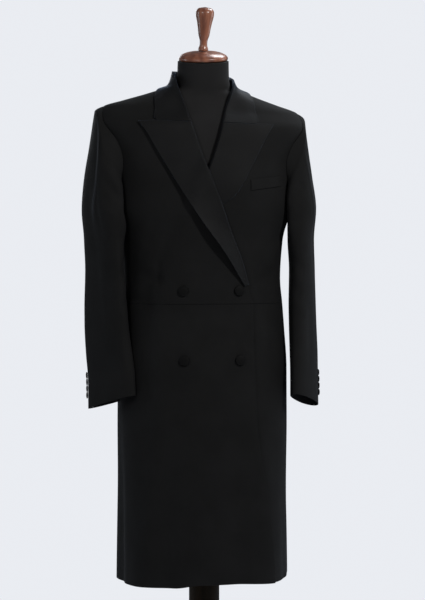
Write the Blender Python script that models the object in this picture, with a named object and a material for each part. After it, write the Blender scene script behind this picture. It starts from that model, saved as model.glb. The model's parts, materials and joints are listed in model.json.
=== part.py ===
"""Double-breasted knee-length coat on a limbless dress form with a wooden stand.

Units are metres and +Z is up. The coat faces -Y, and the origin is on the floor under the
column. Side -1 is the wearer's right, towards -X, and side +1 is the wearer's left.
A place on the torso is given by its bearing, an angle round the column that is 0 at the
centre front and positive towards +X, and by its height.
"""
import math
from collections import namedtuple

import bmesh
import bpy
from mathutils import Matrix, Vector
import numpy as np

RIGHT = -1
LEFT = 1
SIDES = {RIGHT: "right", LEFT: "left"}

# Cloth walls, and how far one layer stands off the layer below it
CLOTH = 0.0017
SEAM_GAP = 0.0003
LAYER = CLOTH + 0.0013
TOP_FRONT_LIFT = 2 * LAYER + 0.0015
OVERLAP_RAMP = 0.035
ROLL_CLEARANCE = 0.006
SLEEVE_CLEARANCE = 0.003

# Heights
HEM = 0.43
WAIST_SEAM = 1.0475
ROLL_END = 1.090
GORGE = 1.4470
NECK_POINT = 1.527
SHOULDER_POINT = 1.477
ARMPIT = 1.262

# Outer surface of the coat on the torso, one row for each height
SQUARENESS = 2.4
Girth = namedtuple("Girth", "height half_width front back centre_x centre_y")
TORSO = [
    Girth(0.400, 0.1890, 0.152, 0.172, -0.0015, 0.014),
    Girth(0.540, 0.1880, 0.146, 0.162, -0.0015, 0.015),
    Girth(0.630, 0.1875, 0.142, 0.156, -0.0015, 0.016),
    Girth(0.790, 0.1895, 0.137, 0.147, -0.0015, 0.018),
    Girth(0.900, 0.1895, 0.132, 0.137, -0.0015, 0.020),
    Girth(0.990, 0.1840, 0.123, 0.116, -0.0015, 0.020),
    Girth(1.044, 0.1800, 0.117, 0.098, -0.0015, 0.020),
    Girth(1.098, 0.1755, 0.115, 0.090, -0.0020, 0.020),
    Girth(1.187, 0.1820, 0.119, 0.101, -0.0030, 0.020),
    Girth(1.262, 0.2030, 0.124, 0.115, -0.0040, 0.020),
    Girth(1.300, 0.2040, 0.125, 0.121, -0.0045, 0.020),
    Girth(1.360, 0.2100, 0.120, 0.125, -0.0050, 0.019),
    Girth(1.400, 0.2236, 0.113, 0.122, -0.0050, 0.017),
    Girth(1.440, 0.2420, 0.101, 0.112, -0.0055, 0.014),
    Girth(1.477, 0.2180, 0.075, 0.088, -0.0065, 0.011),
    Girth(1.493, 0.1715, 0.067, 0.080, -0.0065, 0.009),
    Girth(1.507, 0.1275, 0.061, 0.074, -0.0060, 0.007),
    Girth(1.517, 0.0990, 0.058, 0.071, -0.0050, 0.006),
    Girth(NECK_POINT, 0.0695, 0.055, 0.066, -0.0040, 0.005),
]
# The right shoulder of the wearer sits a little higher than the left one
SHOULDER_LEAN = -0.033
LEAN_FROM = 1.25
LEAN_TO = 1.45

# Soft folds of the skirt: bearing and spread in degrees, swell at the hem
Fold = namedtuple("Fold", "bearing spread swell")
SKIRT_FOLDS = [
    Fold(-152, 9, 0.010),
    Fold(-128, 9, -0.008),
    Fold(-106, 9, 0.005),
    Fold(-84, 8, -0.008),
    Fold(-58, 9, 0.006),
    Fold(-36, 8, -0.006),
    Fold(-12, 12, 0.004),
    Fold(22, 10, -0.005),
    Fold(46, 9, 0.006),
    Fold(70, 8, -0.005),
    Fold(98, 9, 0.009),
    Fold(122, 9, -0.008),
    Fold(148, 9, 0.010),
]
FOLDS_START = 0.98

# The hem's rise above HEM by bearing in degrees
HEM_RISE = [(-180, 0.0), (-100, -0.005), (-60, -0.004), (-30, -0.004), (-10, 0.003), (20, 0.003),
            (50, 0.000), (75, 0.001), (100, 0.007), (180, 0.0)]

# Edges of the fronts as (height, reach): reach is past the centre front, to the far side
SKIRT_EDGE = [(HEM - 0.02, 0.137), (0.486, 0.1337), (0.6185, 0.121), (0.788, 0.101),
              (0.893, 0.0975), (WAIST_SEAM, 0.0955)]
# Roll line from its end to the neck point as (height, reach)
ROLL_LINE = [(ROLL_END, 0.0835), (1.140, 0.0700), (1.178, 0.0555), (1.2285, 0.0375),
             (1.266, 0.0250), (1.3375, -0.0015), (1.364, -0.0120), (1.400, -0.0240),
             (GORGE, -0.0375)]
# Neckline from the gorge to the neck point, under the collar
NECKLINE = [(GORGE, -0.0375), (1.474, -0.0470), (1.500, -0.0580), (1.517, -0.0660),
            (1.5235, -0.0690), (NECK_POINT, -0.0695)]
# Outer edges of the lapels from the tip to the peak as (height, reach)
LAPEL_EDGE = {
    RIGHT: [(1.0865, 0.0765), (1.150, 0.0390), (1.2504, -0.0290), (1.3829, -0.1105),
            (1.4277, -0.1370), (1.4440, -0.1500)],
    LEFT: [(1.0865, 0.0765), (1.180, 0.0300), (1.266, -0.0290), (1.285, -0.0560),
           (1.320, -0.0800), (1.3829, -0.1130), (1.4277, -0.1370), (1.4480, -0.1500)],
}
# Outer edge of the collar from its corner to the centre back as (bearing in degrees, height)
COLLAR_EDGE = [(54.0, 1.4545), (60.0, 1.4830), (71.5, 1.5095), (90.0, 1.5190),
               (120.0, 1.5145), (150.0, 1.5000), (180.0, 1.4940)]
# Stand of the collar along the same stations: height and lean towards the neck
COLLAR_STAND = [(0.000, 0.0000), (0.006, 0.0006), (0.015, 0.0018), (0.024, 0.0030),
                (0.028, 0.0030), (0.030, 0.0030), (0.030, 0.0030)]
# The collar stands higher on the wearer's right by this share of its stand
STAND_BIAS = 0.36
FULL_STAND = 0.018
# Collar and lapel share the gorge up to this column, where the notch opens
NOTCH_COLUMN = 4
NOTCH_REACH = -0.110
# How far the top lapel stands proud along its outer edge, from the tip to the peak
TOP_LAPEL_PROUD = [0.0010, 0.0060, 0.0090, 0.0085, 0.0050, 0.0020, 0.0010, 0.0005]
COLLAR_EASE = 0.0010

# Armhole in side view, and the seams that meet it, as angles from its lowest point
ARMHOLE_CENTRE_Y = 0.014
ARMHOLE_HALF_DEPTH = 0.067
ARMHOLE_STEP = 18
SIDE_SEAM_ANGLE = 18
BACK_SEAM_ANGLE = -54
SHOULDER_ANGLE = 180
# Bearings of those seams at the waist seam and at the hem
SIDE_SEAM_WAIST = 92.0
BACK_SEAM_WAIST = 148.0
BACK_SEAM_HEM = 152.0

# How far along its way to the armhole a seam has turned at two heights between, as shares
SEAM_BENDS = [(0.08, 0.30), (0.55, 0.75)]
# Heights that the centre back runs through between the waist and the neck
SPINE_HEIGHTS = (1.20, 1.40)

# Rows and columns of the grids
TRACE_STEPS = 240
NORMAL_STEP = 1e-4
SHOULDER_COLUMNS = 12
SIDE_BODY_ROWS = 11
ROLL_ROWS = 14
ROLL_CROWDING = 0.82
NECKLINE_ROWS = 5
SKIRT_ROWS = 9
SKIRT_COLUMNS = 20
LEAF_SHARES = (0.0, 0.09, 0.22, 0.42, 0.64, 0.82, 1.0)
FALL_STEEPNESS = 9
# By this share of its width a leaf lies flat on the panel under it
SETTLED_AT = 1 / 3
PROUD_POWER = 1.3
CURL_START = -35.0
CURL_ANGLES = (5.0, 45.0)

# Sleeve sections from the armhole to the cuff. The outer and inner points are given by
# their height and distance from the centre line, shift moves the wearer's right sleeve
# out and the left one in, turn is the angle of the section from fore-and-aft, and fold is how
# far the cloth in front of the armpit folds in over the chest.
Section = namedtuple(
    "Section", "outer_z outer_x inner_z inner_x shift breadth centre_y turn extra slant fold")
SLEEVE = [
    Section(1.4660, 0.2350, 1.2565, 0.2065, 0.0080, 0.0700, 0.014, 0.0, 0.0, 0.0, 0.029),
    Section(1.4350, 0.2390, 1.2490, 0.2085, 0.0085, 0.0730, 0.013, 1.0, 0.0, 0.0, 0.031),
    Section(1.3900, 0.2455, 1.2410, 0.2085, 0.0085, 0.0760, 0.011, 2.5, 0.0, 0.0, 0.031),
    Section(1.3350, 0.2540, 1.2310, 0.2080, 0.0080, 0.0770, 0.010, 6.0, 0.5, 0.0, 0.028),
    Section(1.2620, 0.2605, 1.2130, 0.2055, 0.0050, 0.0760, 0.007, 11.5, 1.0, 0.0, 0.024),
    Section(1.1900, 0.2530, 1.1780, 0.1965, 0.0035, 0.0750, 0.005, 17.0, 2.0, 0.0, 0.006),
    Section(1.1200, 0.2510, 1.1200, 0.1955, 0.0000, 0.0735, 0.006, 20.0, 3.0, 0.0, 0.0),
    Section(1.0500, 0.2500, 1.0500, 0.1950, -0.0010, 0.0715, 0.004, 25.0, 4.0, 0.0, 0.0),
    Section(0.9950, 0.2485, 0.9950, 0.1948, -0.0020, 0.0700, -0.003, 28.0, 4.7, 0.002, 0.0),
    Section(0.9400, 0.2460, 0.9400, 0.1940, -0.0045, 0.0690, -0.010, 31.0, 5.5, 0.006, 0.0),
    Section(0.8850, 0.2415, 0.8850, 0.1932, -0.0065, 0.0680, -0.020, 33.5, 6.0, 0.012, 0.0),
    Section(0.8290, 0.2402, 0.8290, 0.1932, -0.0060, 0.0670, -0.030, 35.5, 6.5, 0.018, 0.0),
]
SLEEVE_SQUARENESS = 2.15
# Where round a sleeve its front fold lies and how far it spreads, in degrees, how much of it
# goes forward, and how much more of it there is on the wearer's right
FOLD_ANGLE = 58.0
FOLD_SPREAD = 36.0
FOLD_TOP = 1.420
FOLD_RISE = 0.060
FOLD_FORWARD = 0.35
FOLD_BIAS = 0.12
# Below this height a sleeve clears the body of the coat
CLEAR_BELOW = 1.36
FRONT_SLEEVE_SEAM = 54
BACK_SLEEVE_SEAM = 288

# Buttons
BUTTON_COLUMNS = (-0.0570, 0.0645)
BUTTON_ROWS = (1.0770, 0.924)
BUTTON_RADIUS = 0.0115
BUTTON_HEIGHT = 0.0052
CUFF_BUTTON_RADIUS = 0.0073
CUFF_BUTTON_HEIGHT = 0.0042
CUFF_BUTTON_PITCH = 0.0149
CUFF_BUTTON_GAP = 2 * SEAM_GAP
LOWEST_CUFF_BUTTON = 0.030
CUFF_BUTTON_ANGLE = {RIGHT: 250.0, LEFT: 241.0}
CUFF_BUTTON_COUNT = 4
CUFF_BUTTON_SPAN = 4.0
BUTTON_SIDES = 14

# Breast pocket welt on the wearer's left: heights of its lower edge and reach of its ends
WELT_LOW_INNER = 1.298
WELT_LOW_OUTER = 1.308
WELT_DEPTH = 0.024
WELT_LIFT = CLOTH + 0.0006
WELT_REACH = (0.094, 0.166)
WELT_COLUMNS = 5
WELT_RISES = (0.0, 0.5, 1.0)

# Dress form, as sections inside the coat
FormRing = namedtuple("FormRing", "height half_width front back centre_y")
FORM = [
    FormRing(0.785, 0.120, 0.088, 0.095, 0.018),
    FormRing(0.790, 0.150, 0.108, 0.116, 0.018),
    FormRing(0.806, 0.168, 0.120, 0.128, 0.018),
    FormRing(0.900, 0.176, 0.122, 0.127, 0.020),
    FormRing(1.000, 0.167, 0.111, 0.102, 0.020),
    FormRing(1.098, 0.158, 0.104, 0.079, 0.020),
    FormRing(1.187, 0.165, 0.108, 0.090, 0.020),
    FormRing(1.262, 0.178, 0.113, 0.104, 0.020),
    FormRing(1.330, 0.184, 0.111, 0.112, 0.019),
    FormRing(1.400, 0.187, 0.101, 0.110, 0.017),
    FormRing(1.440, 0.187, 0.090, 0.101, 0.014),
    FormRing(1.466, 0.176, 0.075, 0.086, 0.011),
    FormRing(1.484, 0.173, 0.065, 0.076, 0.009),
    FormRing(1.4972, 0.147, 0.059, 0.069, 0.008),
    FormRing(1.5090, 0.112, 0.055, 0.063, 0.006),
    FormRing(1.522, 0.0630, 0.054, 0.058, 0.003),
    FormRing(1.550, 0.0575, 0.054, 0.055, -0.001),
    FormRing(1.5775, 0.0565, 0.054, 0.054, -0.003),
]
FORM_SIDES = 32
FORM_SQUARENESS = 2.3
FORM_CENTRE_X = -0.0025
# The shoulders' lean fades out over this height below the neck point
NECK_RISE = 0.012

# Wooden parts, as turned profiles of (radius, height above the part's own foot)
COLUMN_RADIUS = 0.034
BASE_PROFILE = [(0.0, 0.0), (0.190, 0.0), (0.190, 0.010), (0.185, 0.017), (0.160, 0.023),
                (0.070, 0.028), (0.052, 0.032), (0.0, 0.032)]
CAP_PROFILE = [(0.0, 0.0), (0.0510, 0.0), (0.0550, 0.0035), (0.0555, 0.0075),
               (0.0515, 0.0130), (0.0405, 0.0185), (0.0255, 0.0220), (0.0, 0.0220)]
FINIAL_PROFILE = [(0.0, 0.0), (0.0110, 0.0), (0.0114, 0.0040), (0.0098, 0.0080),
                  (0.0084, 0.0130), (0.0088, 0.0240), (0.0125, 0.0340), (0.0145, 0.0500),
                  (0.0172, 0.0640), (0.0205, 0.0780), (0.0202, 0.0880), (0.0150, 0.0945),
                  (0.0, 0.0970)]
NECK_TILT = 8.0
CAP_SWAY = -1.5
FINIAL_SWAY = 1.7
CAP_CLEARANCE = 0.0080
CAP_GAP = 0.0010
TURNED_SIDES = 32

# Colours, roughness and metallic value of each material
FINISHES = {
    "black_wool": ((0.010, 0.010, 0.012), 0.85, 0.0),
    "lapel_cloth": ((0.016, 0.017, 0.022), 0.60, 0.0),
    "covered_button": ((0.009, 0.009, 0.010), 0.60, 0.0),
    "form_jersey": ((0.013, 0.012, 0.013), 0.90, 0.0),
    "mahogany": ((0.230, 0.085, 0.050), 0.30, 0.0),
    "dark_wood": ((0.060, 0.026, 0.015), 0.40, 0.0),
}


class Smooth:
    """A curve through keyed values that never overshoots between two of them."""

    def __init__(self, keys, values):
        self.keys = np.array(keys, float)
        self.values = np.array(values, float)
        steps = np.diff(self.keys)
        rises = np.diff(self.values) / steps
        self.slopes = np.empty(len(self.keys))
        self.slopes[0] = rises[0]
        self.slopes[-1] = rises[-1]
        product = rises[:-1] * rises[1:]
        total = rises[:-1] + rises[1:]
        safe = np.where(product > 0, total, 1.0)
        self.slopes[1:-1] = np.where(product > 0, 2 * product / safe, 0.0)

    def __call__(self, at):
        at = np.clip(at, self.keys[0], self.keys[-1])
        low = np.clip(np.searchsorted(self.keys, at, side="right") - 1, 0, len(self.keys) - 2)
        step = self.keys[low + 1] - self.keys[low]
        t = (at - self.keys[low]) / step
        start = self.values[low] * (1 + 2 * t) * (1 - t) ** 2
        end = self.values[low + 1] * t * t * (3 - 2 * t)
        leave = self.slopes[low] * step * t * (1 - t) ** 2
        arrive = self.slopes[low + 1] * step * t * t * (t - 1)
        return start + end + leave + arrive


def smooth_step(value):
    value = np.clip(value, 0.0, 1.0)
    return value * value * (3 - 2 * value)


def column_curve(rows, name):
    return Smooth([row.height for row in rows], [getattr(row, name) for row in rows])


HALF_WIDTH = column_curve(TORSO, "half_width")
FRONT_DEPTH = column_curve(TORSO, "front")
BACK_DEPTH = column_curve(TORSO, "back")
CENTRE_X = column_curve(TORSO, "centre_x")
CENTRE_Y = column_curve(TORSO, "centre_y")
SKIRT_REACH = Smooth(*zip(*SKIRT_EDGE))
ROLL_REACH = Smooth(*zip(*(ROLL_LINE + NECKLINE[1:])))
HEM_CURVE = Smooth([math.radians(angle) for angle, _ in HEM_RISE], [rise for _, rise in HEM_RISE])


def fold_swell(bearing, height):
    """How far the skirt's folds push the cloth out, growing towards the hem."""
    swell = np.zeros(np.broadcast(bearing, height).shape)
    for fold in SKIRT_FOLDS:
        away = (np.degrees(bearing) - fold.bearing + 180) % 360 - 180
        swell = swell + fold.swell * np.exp(-(away / fold.spread) ** 2)
    return swell * smooth_step((FOLDS_START - height) / (FOLDS_START - HEM))


def torso(bearing, height):
    """Points on the coat's outer surface."""
    bearing = np.asarray(bearing, float)
    height = np.asarray(height, float)
    across = np.sin(bearing)
    along = np.cos(bearing)
    depth = np.where(along > 0, FRONT_DEPTH(height), BACK_DEPTH(height))
    width_part = (np.abs(across) / HALF_WIDTH(height)) ** SQUARENESS
    depth_part = (np.abs(along) / depth) ** SQUARENESS
    radius = (width_part + depth_part) ** (-1 / SQUARENESS) + fold_swell(bearing, height)
    x = CENTRE_X(height) + radius * across
    y = CENTRE_Y(height) - radius * along
    lean = SHOULDER_LEAN * x * smooth_step((height - LEAN_FROM) / (LEAN_TO - LEAN_FROM))
    return np.stack([x, y, height + lean + np.zeros_like(x)], axis=-1)


def torso_normal(bearing, height):
    along = torso(bearing + NORMAL_STEP, height) - torso(bearing - NORMAL_STEP, height)
    up = torso(bearing, height + NORMAL_STEP) - torso(bearing, height - NORMAL_STEP)
    return unit(np.cross(along, up))


def bearing_at_reach(reach, height):
    """Bearing on the front of the torso at a distance across from the centre front."""
    share = np.clip(np.abs(reach) / HALF_WIDTH(height), 0, 1)
    depth = FRONT_DEPTH(height) * (1 - share ** SQUARENESS) ** (1 / SQUARENESS)
    return np.arctan2(reach, depth)


def front_line(keys, side):
    """Torso places (bearing, height) of a line given as (height, reach) past the centre."""
    return [(float(bearing_at_reach(-side * reach, height)), height) for height, reach in keys]


def arc_fractions(points):
    lengths = np.linalg.norm(np.diff(points, axis=0), axis=1)
    return np.concatenate([[0.0], np.cumsum(lengths)])


def trace(places, fractions):
    """Places along the smooth line through the given ones, at fractions of its length."""
    places = np.array(places, float)
    travelled = arc_fractions(torso(places[:, 0], places[:, 1]))
    fine = np.linspace(0, travelled[-1], TRACE_STEPS)
    bearing = Smooth(travelled, places[:, 0])(fine)
    height = Smooth(travelled, places[:, 1])(fine)
    length = arc_fractions(torso(bearing, height))
    at = np.interp(np.asarray(fractions) * length[-1], length, fine)
    return np.stack([np.interp(at, fine, bearing), np.interp(at, fine, height)], axis=-1)


def across_panel(first, last, columns):
    """Rows of places from each place of the first edge to that of the last edge."""
    shares = np.linspace(0, 1, columns + 1)
    return np.array([trace([start, end], shares) for start, end in zip(first, last)])


def armhole_point(side, angle):
    """A point on the armhole, whose angle runs from the lowest point over the front."""
    turn = np.radians(angle)
    middle = (ARMPIT + SHOULDER_POINT) / 2
    half_height = (SHOULDER_POINT - ARMPIT) / 2
    y = ARMHOLE_CENTRE_Y - ARMHOLE_HALF_DEPTH * np.sin(turn)
    height = middle - half_height * np.cos(turn)
    out = y - CENTRE_Y(height)
    depth = np.where(out < 0, FRONT_DEPTH(height), BACK_DEPTH(height))
    share = np.clip(np.abs(out) / depth, 0, 1)
    x = HALF_WIDTH(height) * (1 - share ** SQUARENESS) ** (1 / SQUARENESS)
    return np.arctan2(side * x, -out), height


def armhole_line(side, start, end):
    count = abs(end - start) // ARMHOLE_STEP
    places = []
    for index in range(count + 1):
        bearing, height = armhole_point(side, start + (end - start) * index / count)
        places.append((float(bearing), float(height)))
    return places


def seam_line(side, waist_bearing, armhole_angle):
    """A seam from the waist to the armhole, leaving the waist straight up."""
    end = armhole_line(side, armhole_angle, armhole_angle + ARMHOLE_STEP)[0]
    start = (side * math.radians(waist_bearing), WAIST_SEAM)
    bends = [(start[0] + turned * (end[0] - start[0]), start[1] + risen * (end[1] - start[1]))
             for turned, risen in SEAM_BENDS]
    places = trace([start, *bends, end], np.linspace(0, 1, SIDE_BODY_ROWS + 1))
    places[0] = start
    places[-1] = end
    return places


def far_edge(height):
    """How far the lower front reaches past the centre at a height."""
    height = np.asarray(height, float)
    return np.where(height > ROLL_END, ROLL_REACH(height), SKIRT_REACH(height))


def front_lift(side, bearing, height):
    """How far a front stands off the torso: the top front clears what it laps over."""
    if side == LEFT:
        return np.zeros(np.broadcast(bearing, height).shape)
    x = torso(bearing, height)[..., 0] - CENTRE_X(height)
    begins = -far_edge(height) - ROLL_CLEARANCE
    lift = TOP_FRONT_LIFT * smooth_step((x - begins + OVERLAP_RAMP) / OVERLAP_RAMP)
    return np.where(np.abs(bearing) < math.pi / 2, lift, 0.0)


def grid_normals(points):
    """Normals of a grid of points, rows going up and columns going to the wearer's left."""
    across = np.gradient(points, axis=1)
    up = np.gradient(points, axis=0)
    return unit(np.cross(across, up))


def clear_scene():
    for item in list(bpy.data.objects):
        bpy.data.objects.remove(item, do_unlink=True)


def make_collection(name):
    collection = bpy.data.collections.new(name)
    bpy.context.scene.collection.children.link(collection)
    return collection


def finish_material(name, finish):
    """A material of the object's own with one of the named finishes."""
    colour, roughness, metallic = FINISHES[finish]
    material = bpy.data.materials.new(name)
    material.use_nodes = True
    shader = material.node_tree.nodes["Principled BSDF"]
    shader.inputs["Base Color"].default_value = (*colour, 1.0)
    shader.inputs["Roughness"].default_value = roughness
    shader.inputs["Metallic"].default_value = metallic
    material.diffuse_color = (*colour, 1.0)
    return material


def add_object(collection, name, mesh, finish):
    item = bpy.data.objects.new(name, mesh)
    item.data.materials.append(finish_material(name, finish))
    collection.objects.link(item)
    return item


def mesh_from(name, bm):
    bmesh.ops.recalc_face_normals(bm, faces=bm.faces)
    mesh = bpy.data.meshes.new(name)
    bm.to_mesh(mesh)
    bm.free()
    mesh.shade_smooth()
    mesh.set_sharp_from_angle(angle=math.radians(50))
    return mesh


def cloth_wall(collection, name, outer, inner, finish="black_wool"):
    """A closed wall between the outer and the inner grid of points."""
    bm = bmesh.new()
    rows, columns = outer.shape[:2]
    sheets = []
    for grid in (outer, inner):
        sheets.append([[bm.verts.new(point) for point in row] for row in grid])
    for sheet in sheets:
        for row in range(rows - 1):
            for column in range(columns - 1):
                bm.faces.new((sheet[row][column], sheet[row][column + 1],
                              sheet[row + 1][column + 1], sheet[row + 1][column]))
    around = [(0, column) for column in range(columns)]
    around += [(row, columns - 1) for row in range(1, rows)]
    around += [(rows - 1, column) for column in range(columns - 2, -1, -1)]
    around += [(row, 0) for row in range(rows - 2, 0, -1)]
    for pair in zip(around, around[1:] + around[:1]):
        # One diagonal for both walls of a seam, so that their twisted ends can't cross
        first, second = [[sheet[row][column] for sheet in sheets] for row, column in sorted(pair)]
        bm.faces.new((first[0], second[0], second[1]))
        bm.faces.new((first[0], second[1], first[1]))
    return add_object(collection, name, mesh_from(name, bm), finish)


def torso_panel(collection, name, places, lift=0.0, finish="black_wool", thickness=CLOTH):
    """A panel that follows the torso, moved out by its lift."""
    bearing = places[..., 0]
    height = places[..., 1]
    normal = torso_normal(bearing, height)
    lift = np.zeros(bearing.shape) + lift
    outer = torso(bearing, height) + normal * lift[..., None]
    return cloth_wall(collection, name, outer, outer - normal * thickness, finish)


def roll_places(side):
    """Places up a front edge: the waist seam, the roll line and then the neckline."""
    waist = front_line([(WAIST_SEAM, SKIRT_EDGE[-1][1])], side)
    fractions = np.linspace(0, 1, ROLL_ROWS + 1) ** ROLL_CROWDING
    roll = trace(front_line(ROLL_LINE, side), fractions)
    neckline = trace(front_line(NECKLINE, side), np.linspace(0, 1, NECKLINE_ROWS + 1))
    neckline[-1] = (side * math.pi / 2, NECK_POINT)
    return np.concatenate([waist, roll, neckline[1:]])


def forepart(collection, side):
    front = roll_places(side)
    seam = seam_line(side, SIDE_SEAM_WAIST, SIDE_SEAM_ANGLE)
    armhole = armhole_line(side, SIDE_SEAM_ANGLE, SHOULDER_ANGLE)
    back = np.concatenate([seam[:-1], armhole])
    places = across_panel(front, back, SHOULDER_COLUMNS)
    inset_column(places, -1, len(seam), side, -1)
    places[0, :, 1] += SEAM_GAP / 2
    places[-1, :, 0] -= side * SEAM_GAP / 2 / HALF_WIDTH(places[-1, :, 1])
    lift = front_lift(side, places[..., 0], places[..., 1])
    torso_panel(collection, "forepart_" + SIDES[side], places, lift)


def inset_column(places, column, rows, side, direction):
    """Moves the first rows of an edge column along the torso by half a seam gap."""
    height = places[:rows, column, 1]
    spot = torso(places[:rows, column, 0], height)
    radius = np.hypot(spot[:, 0] - CENTRE_X(height), spot[:, 1] - CENTRE_Y(height))
    places[:rows, column, 0] += side * direction * SEAM_GAP / 2 / radius


def side_body(collection, side):
    front = seam_line(side, SIDE_SEAM_WAIST, SIDE_SEAM_ANGLE)
    back = seam_line(side, BACK_SEAM_WAIST, BACK_SEAM_ANGLE)
    top = np.array(armhole_line(side, SIDE_SEAM_ANGLE, BACK_SEAM_ANGLE))
    columns = len(top) - 1
    places = across_panel(front, back, columns)
    shares = np.linspace(0, 1, len(front))[:, None, None]
    places += shares ** 2 * (top - places[-1])[None]
    places[-1] = top
    inset_column(places, 0, len(front), side, 1)
    inset_column(places, -1, len(front), side, -1)
    places[0, :, 1] += SEAM_GAP / 2
    torso_panel(collection, "side_body_" + SIDES[side], places)


def back_neckline(side):
    """Places round the back of the neck from the shoulder seam, short of the centre back."""
    bearings = np.radians(np.linspace(90, 180, NECKLINE_ROWS + 1)[:-1])
    return np.array([(side * bearing, NECK_POINT) for bearing in bearings])


def back_panel(collection, side):
    """The back from the hem to the shoulder, with its neckline at the top of the centre."""
    armhole = armhole_line(side, BACK_SEAM_ANGLE, -SHOULDER_ANGLE)
    upper_seam = seam_line(side, BACK_SEAM_WAIST, BACK_SEAM_ANGLE)
    heights = np.linspace(HEM, WAIST_SEAM, SKIRT_ROWS + 1)
    bearings = np.radians(np.linspace(BACK_SEAM_HEM, BACK_SEAM_WAIST, SKIRT_ROWS + 1))
    lower_seam = np.stack([side * bearings, heights], axis=-1)
    outside = np.concatenate([lower_seam[:-1], upper_seam[:-1], armhole])
    centre_rows = len(outside) - NECKLINE_ROWS
    centre = side * math.pi
    spine = trace([(centre, height) for height in (WAIST_SEAM, *SPINE_HEIGHTS, NECK_POINT)],
                  np.linspace(0, 1, centre_rows - SKIRT_ROWS))
    neck = np.concatenate([spine, back_neckline(side)[::-1]])
    inside = np.concatenate([np.stack([np.full(SKIRT_ROWS, centre), heights[:-1]], axis=-1), neck])
    places = across_panel(inside, outside, SHOULDER_COLUMNS)
    seam_rows = len(lower_seam) + len(upper_seam) - 1
    inset_column(places, -1, seam_rows, side, 1)
    inset_column(places, 0, centre_rows, side, -1)
    places[0, :, 1] += HEM_CURVE(places[0, :, 0])
    places[-1, :, 0] += side * SEAM_GAP / 2 / HALF_WIDTH(places[-1, :, 1])
    torso_panel(collection, "back_" + SIDES[side], places)


def skirt(collection, side):
    heights = np.linspace(HEM, WAIST_SEAM, SKIRT_ROWS + 1)
    front = front_line([(height, float(SKIRT_REACH(height))) for height in heights], side)
    bearings = np.radians(np.linspace(BACK_SEAM_HEM, BACK_SEAM_WAIST, SKIRT_ROWS + 1))
    back = np.stack([side * bearings, heights], axis=-1)
    places = across_panel(front, back, SKIRT_COLUMNS)
    inset_column(places, -1, len(heights), side, -1)
    places[-1, :, 1] -= SEAM_GAP / 2
    places[0, :, 1] += HEM_CURVE(places[0, :, 0])
    lift = front_lift(side, places[..., 0], places[..., 1])
    torso_panel(collection, "skirt_" + SIDES[side], places, lift)


def roll_frames(side):
    """Along a front's roll line and neckline: the torso's normal, and square to both the
    way off the panel's edge."""
    line = roll_places(side)[1:]
    points = torso(line[:, 0], line[:, 1])
    up = torso_normal(line[:, 0], line[:, 1])
    beyond = square_to(side * np.cross(up, np.gradient(points, axis=0)), up)
    return up, beyond


def gorge_row(side, start, corner):
    """Places from the roll line along the gorge to the notch, and on to a leaf's corner."""
    notch = (float(bearing_at_reach(-side * NOTCH_REACH, start[1])), start[1])
    shares = np.array(LEAF_SHARES)
    before = shares[:NOTCH_COLUMN + 1] / shares[NOTCH_COLUMN]
    after = (shares[NOTCH_COLUMN:] - shares[NOTCH_COLUMN]) / (1 - shares[NOTCH_COLUMN])
    return np.concatenate([trace([start, notch], before), trace([notch, corner], after)[1:]])


def leaf_grid(side, roll, edge, gorge, blend):
    """Places from the roll line to the outer edge; rows near the gorge bend into the notch."""
    grid = np.array([trace([start, end], LEAF_SHARES) for start, end in zip(roll, edge)])
    bent = gorge_row(side, roll[gorge], edge[gorge]) - grid[gorge]
    for away, weight in enumerate(blend):
        row = gorge + away if gorge == 0 else gorge - away
        grid[row] += weight * bent
    return grid


def turned_leaf(places, lift, frames, stand, lean):
    """Outer points and normals of a leaf that curls round a roll line and lies back.

    stand and lean raise the roll line off the panel's edge, up and towards the neck.
    """
    flat_up, beyond = frames
    normal = torso_normal(places[..., 0], places[..., 1])
    base = torso(places[..., 0], places[..., 1])
    edge = base[:, 0]
    upright = smooth_step(stand / FULL_STAND)[:, None]
    crest_up = unit(flat_up * (1 - upright) + np.array([0.0, 0.0, 1.0]) * upright)
    height = places[:, 0, 1]
    neck_axis = np.stack([CENTRE_X(height), CENTRE_Y(height), edge[:, 2]], axis=-1)
    inward = square_to(beyond * (1 - upright) + unit(neck_axis - edge) * upright, crest_up)
    radius = CLOTH / 2 + LAYER
    raised = crest_up * stand[:, None] + inward * lean[:, None]
    middle = edge + flat_up * (lift[:, :1] - CLOTH / 2)
    crest = edge + crest_up * (lift[:, :1] - CLOTH / 2) + raised
    start = math.radians(CURL_START)
    facing = [beyond * math.cos(start) + flat_up * math.sin(start)]
    curl = [middle + radius * facing[0]]
    for angle in map(math.radians, CURL_ANGLES):
        facing.append(inward * math.cos(angle) + crest_up * math.sin(angle))
        curl.append(crest + radius * facing[-1])
    share = np.array(LEAF_SHARES)[None, :, None]
    settle = np.clip(share / SETTLED_AT, 0, 1)
    out = unit(crest_up[:, None] * (1 - settle) + normal * settle)
    arch = (1 - share) ** FALL_STEEPNESS
    ease = COLLAR_EASE * np.minimum(stand[:, None, None] / FULL_STAND, 1)
    leaf = base + out * (lift[..., None] + LAYER + ease) + raised[:, None] * arch
    outer = np.concatenate([np.stack(curl, axis=1), leaf], axis=1)
    return outer, np.concatenate([np.stack(facing, axis=1), out], axis=1)


def unit(vectors):
    return vectors / np.linalg.norm(vectors, axis=-1, keepdims=True)


def square_to(vectors, normal):
    """Unit vectors along the given ones but square to the normal."""
    return unit(vectors - normal * np.sum(vectors * normal, axis=-1, keepdims=True))


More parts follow.
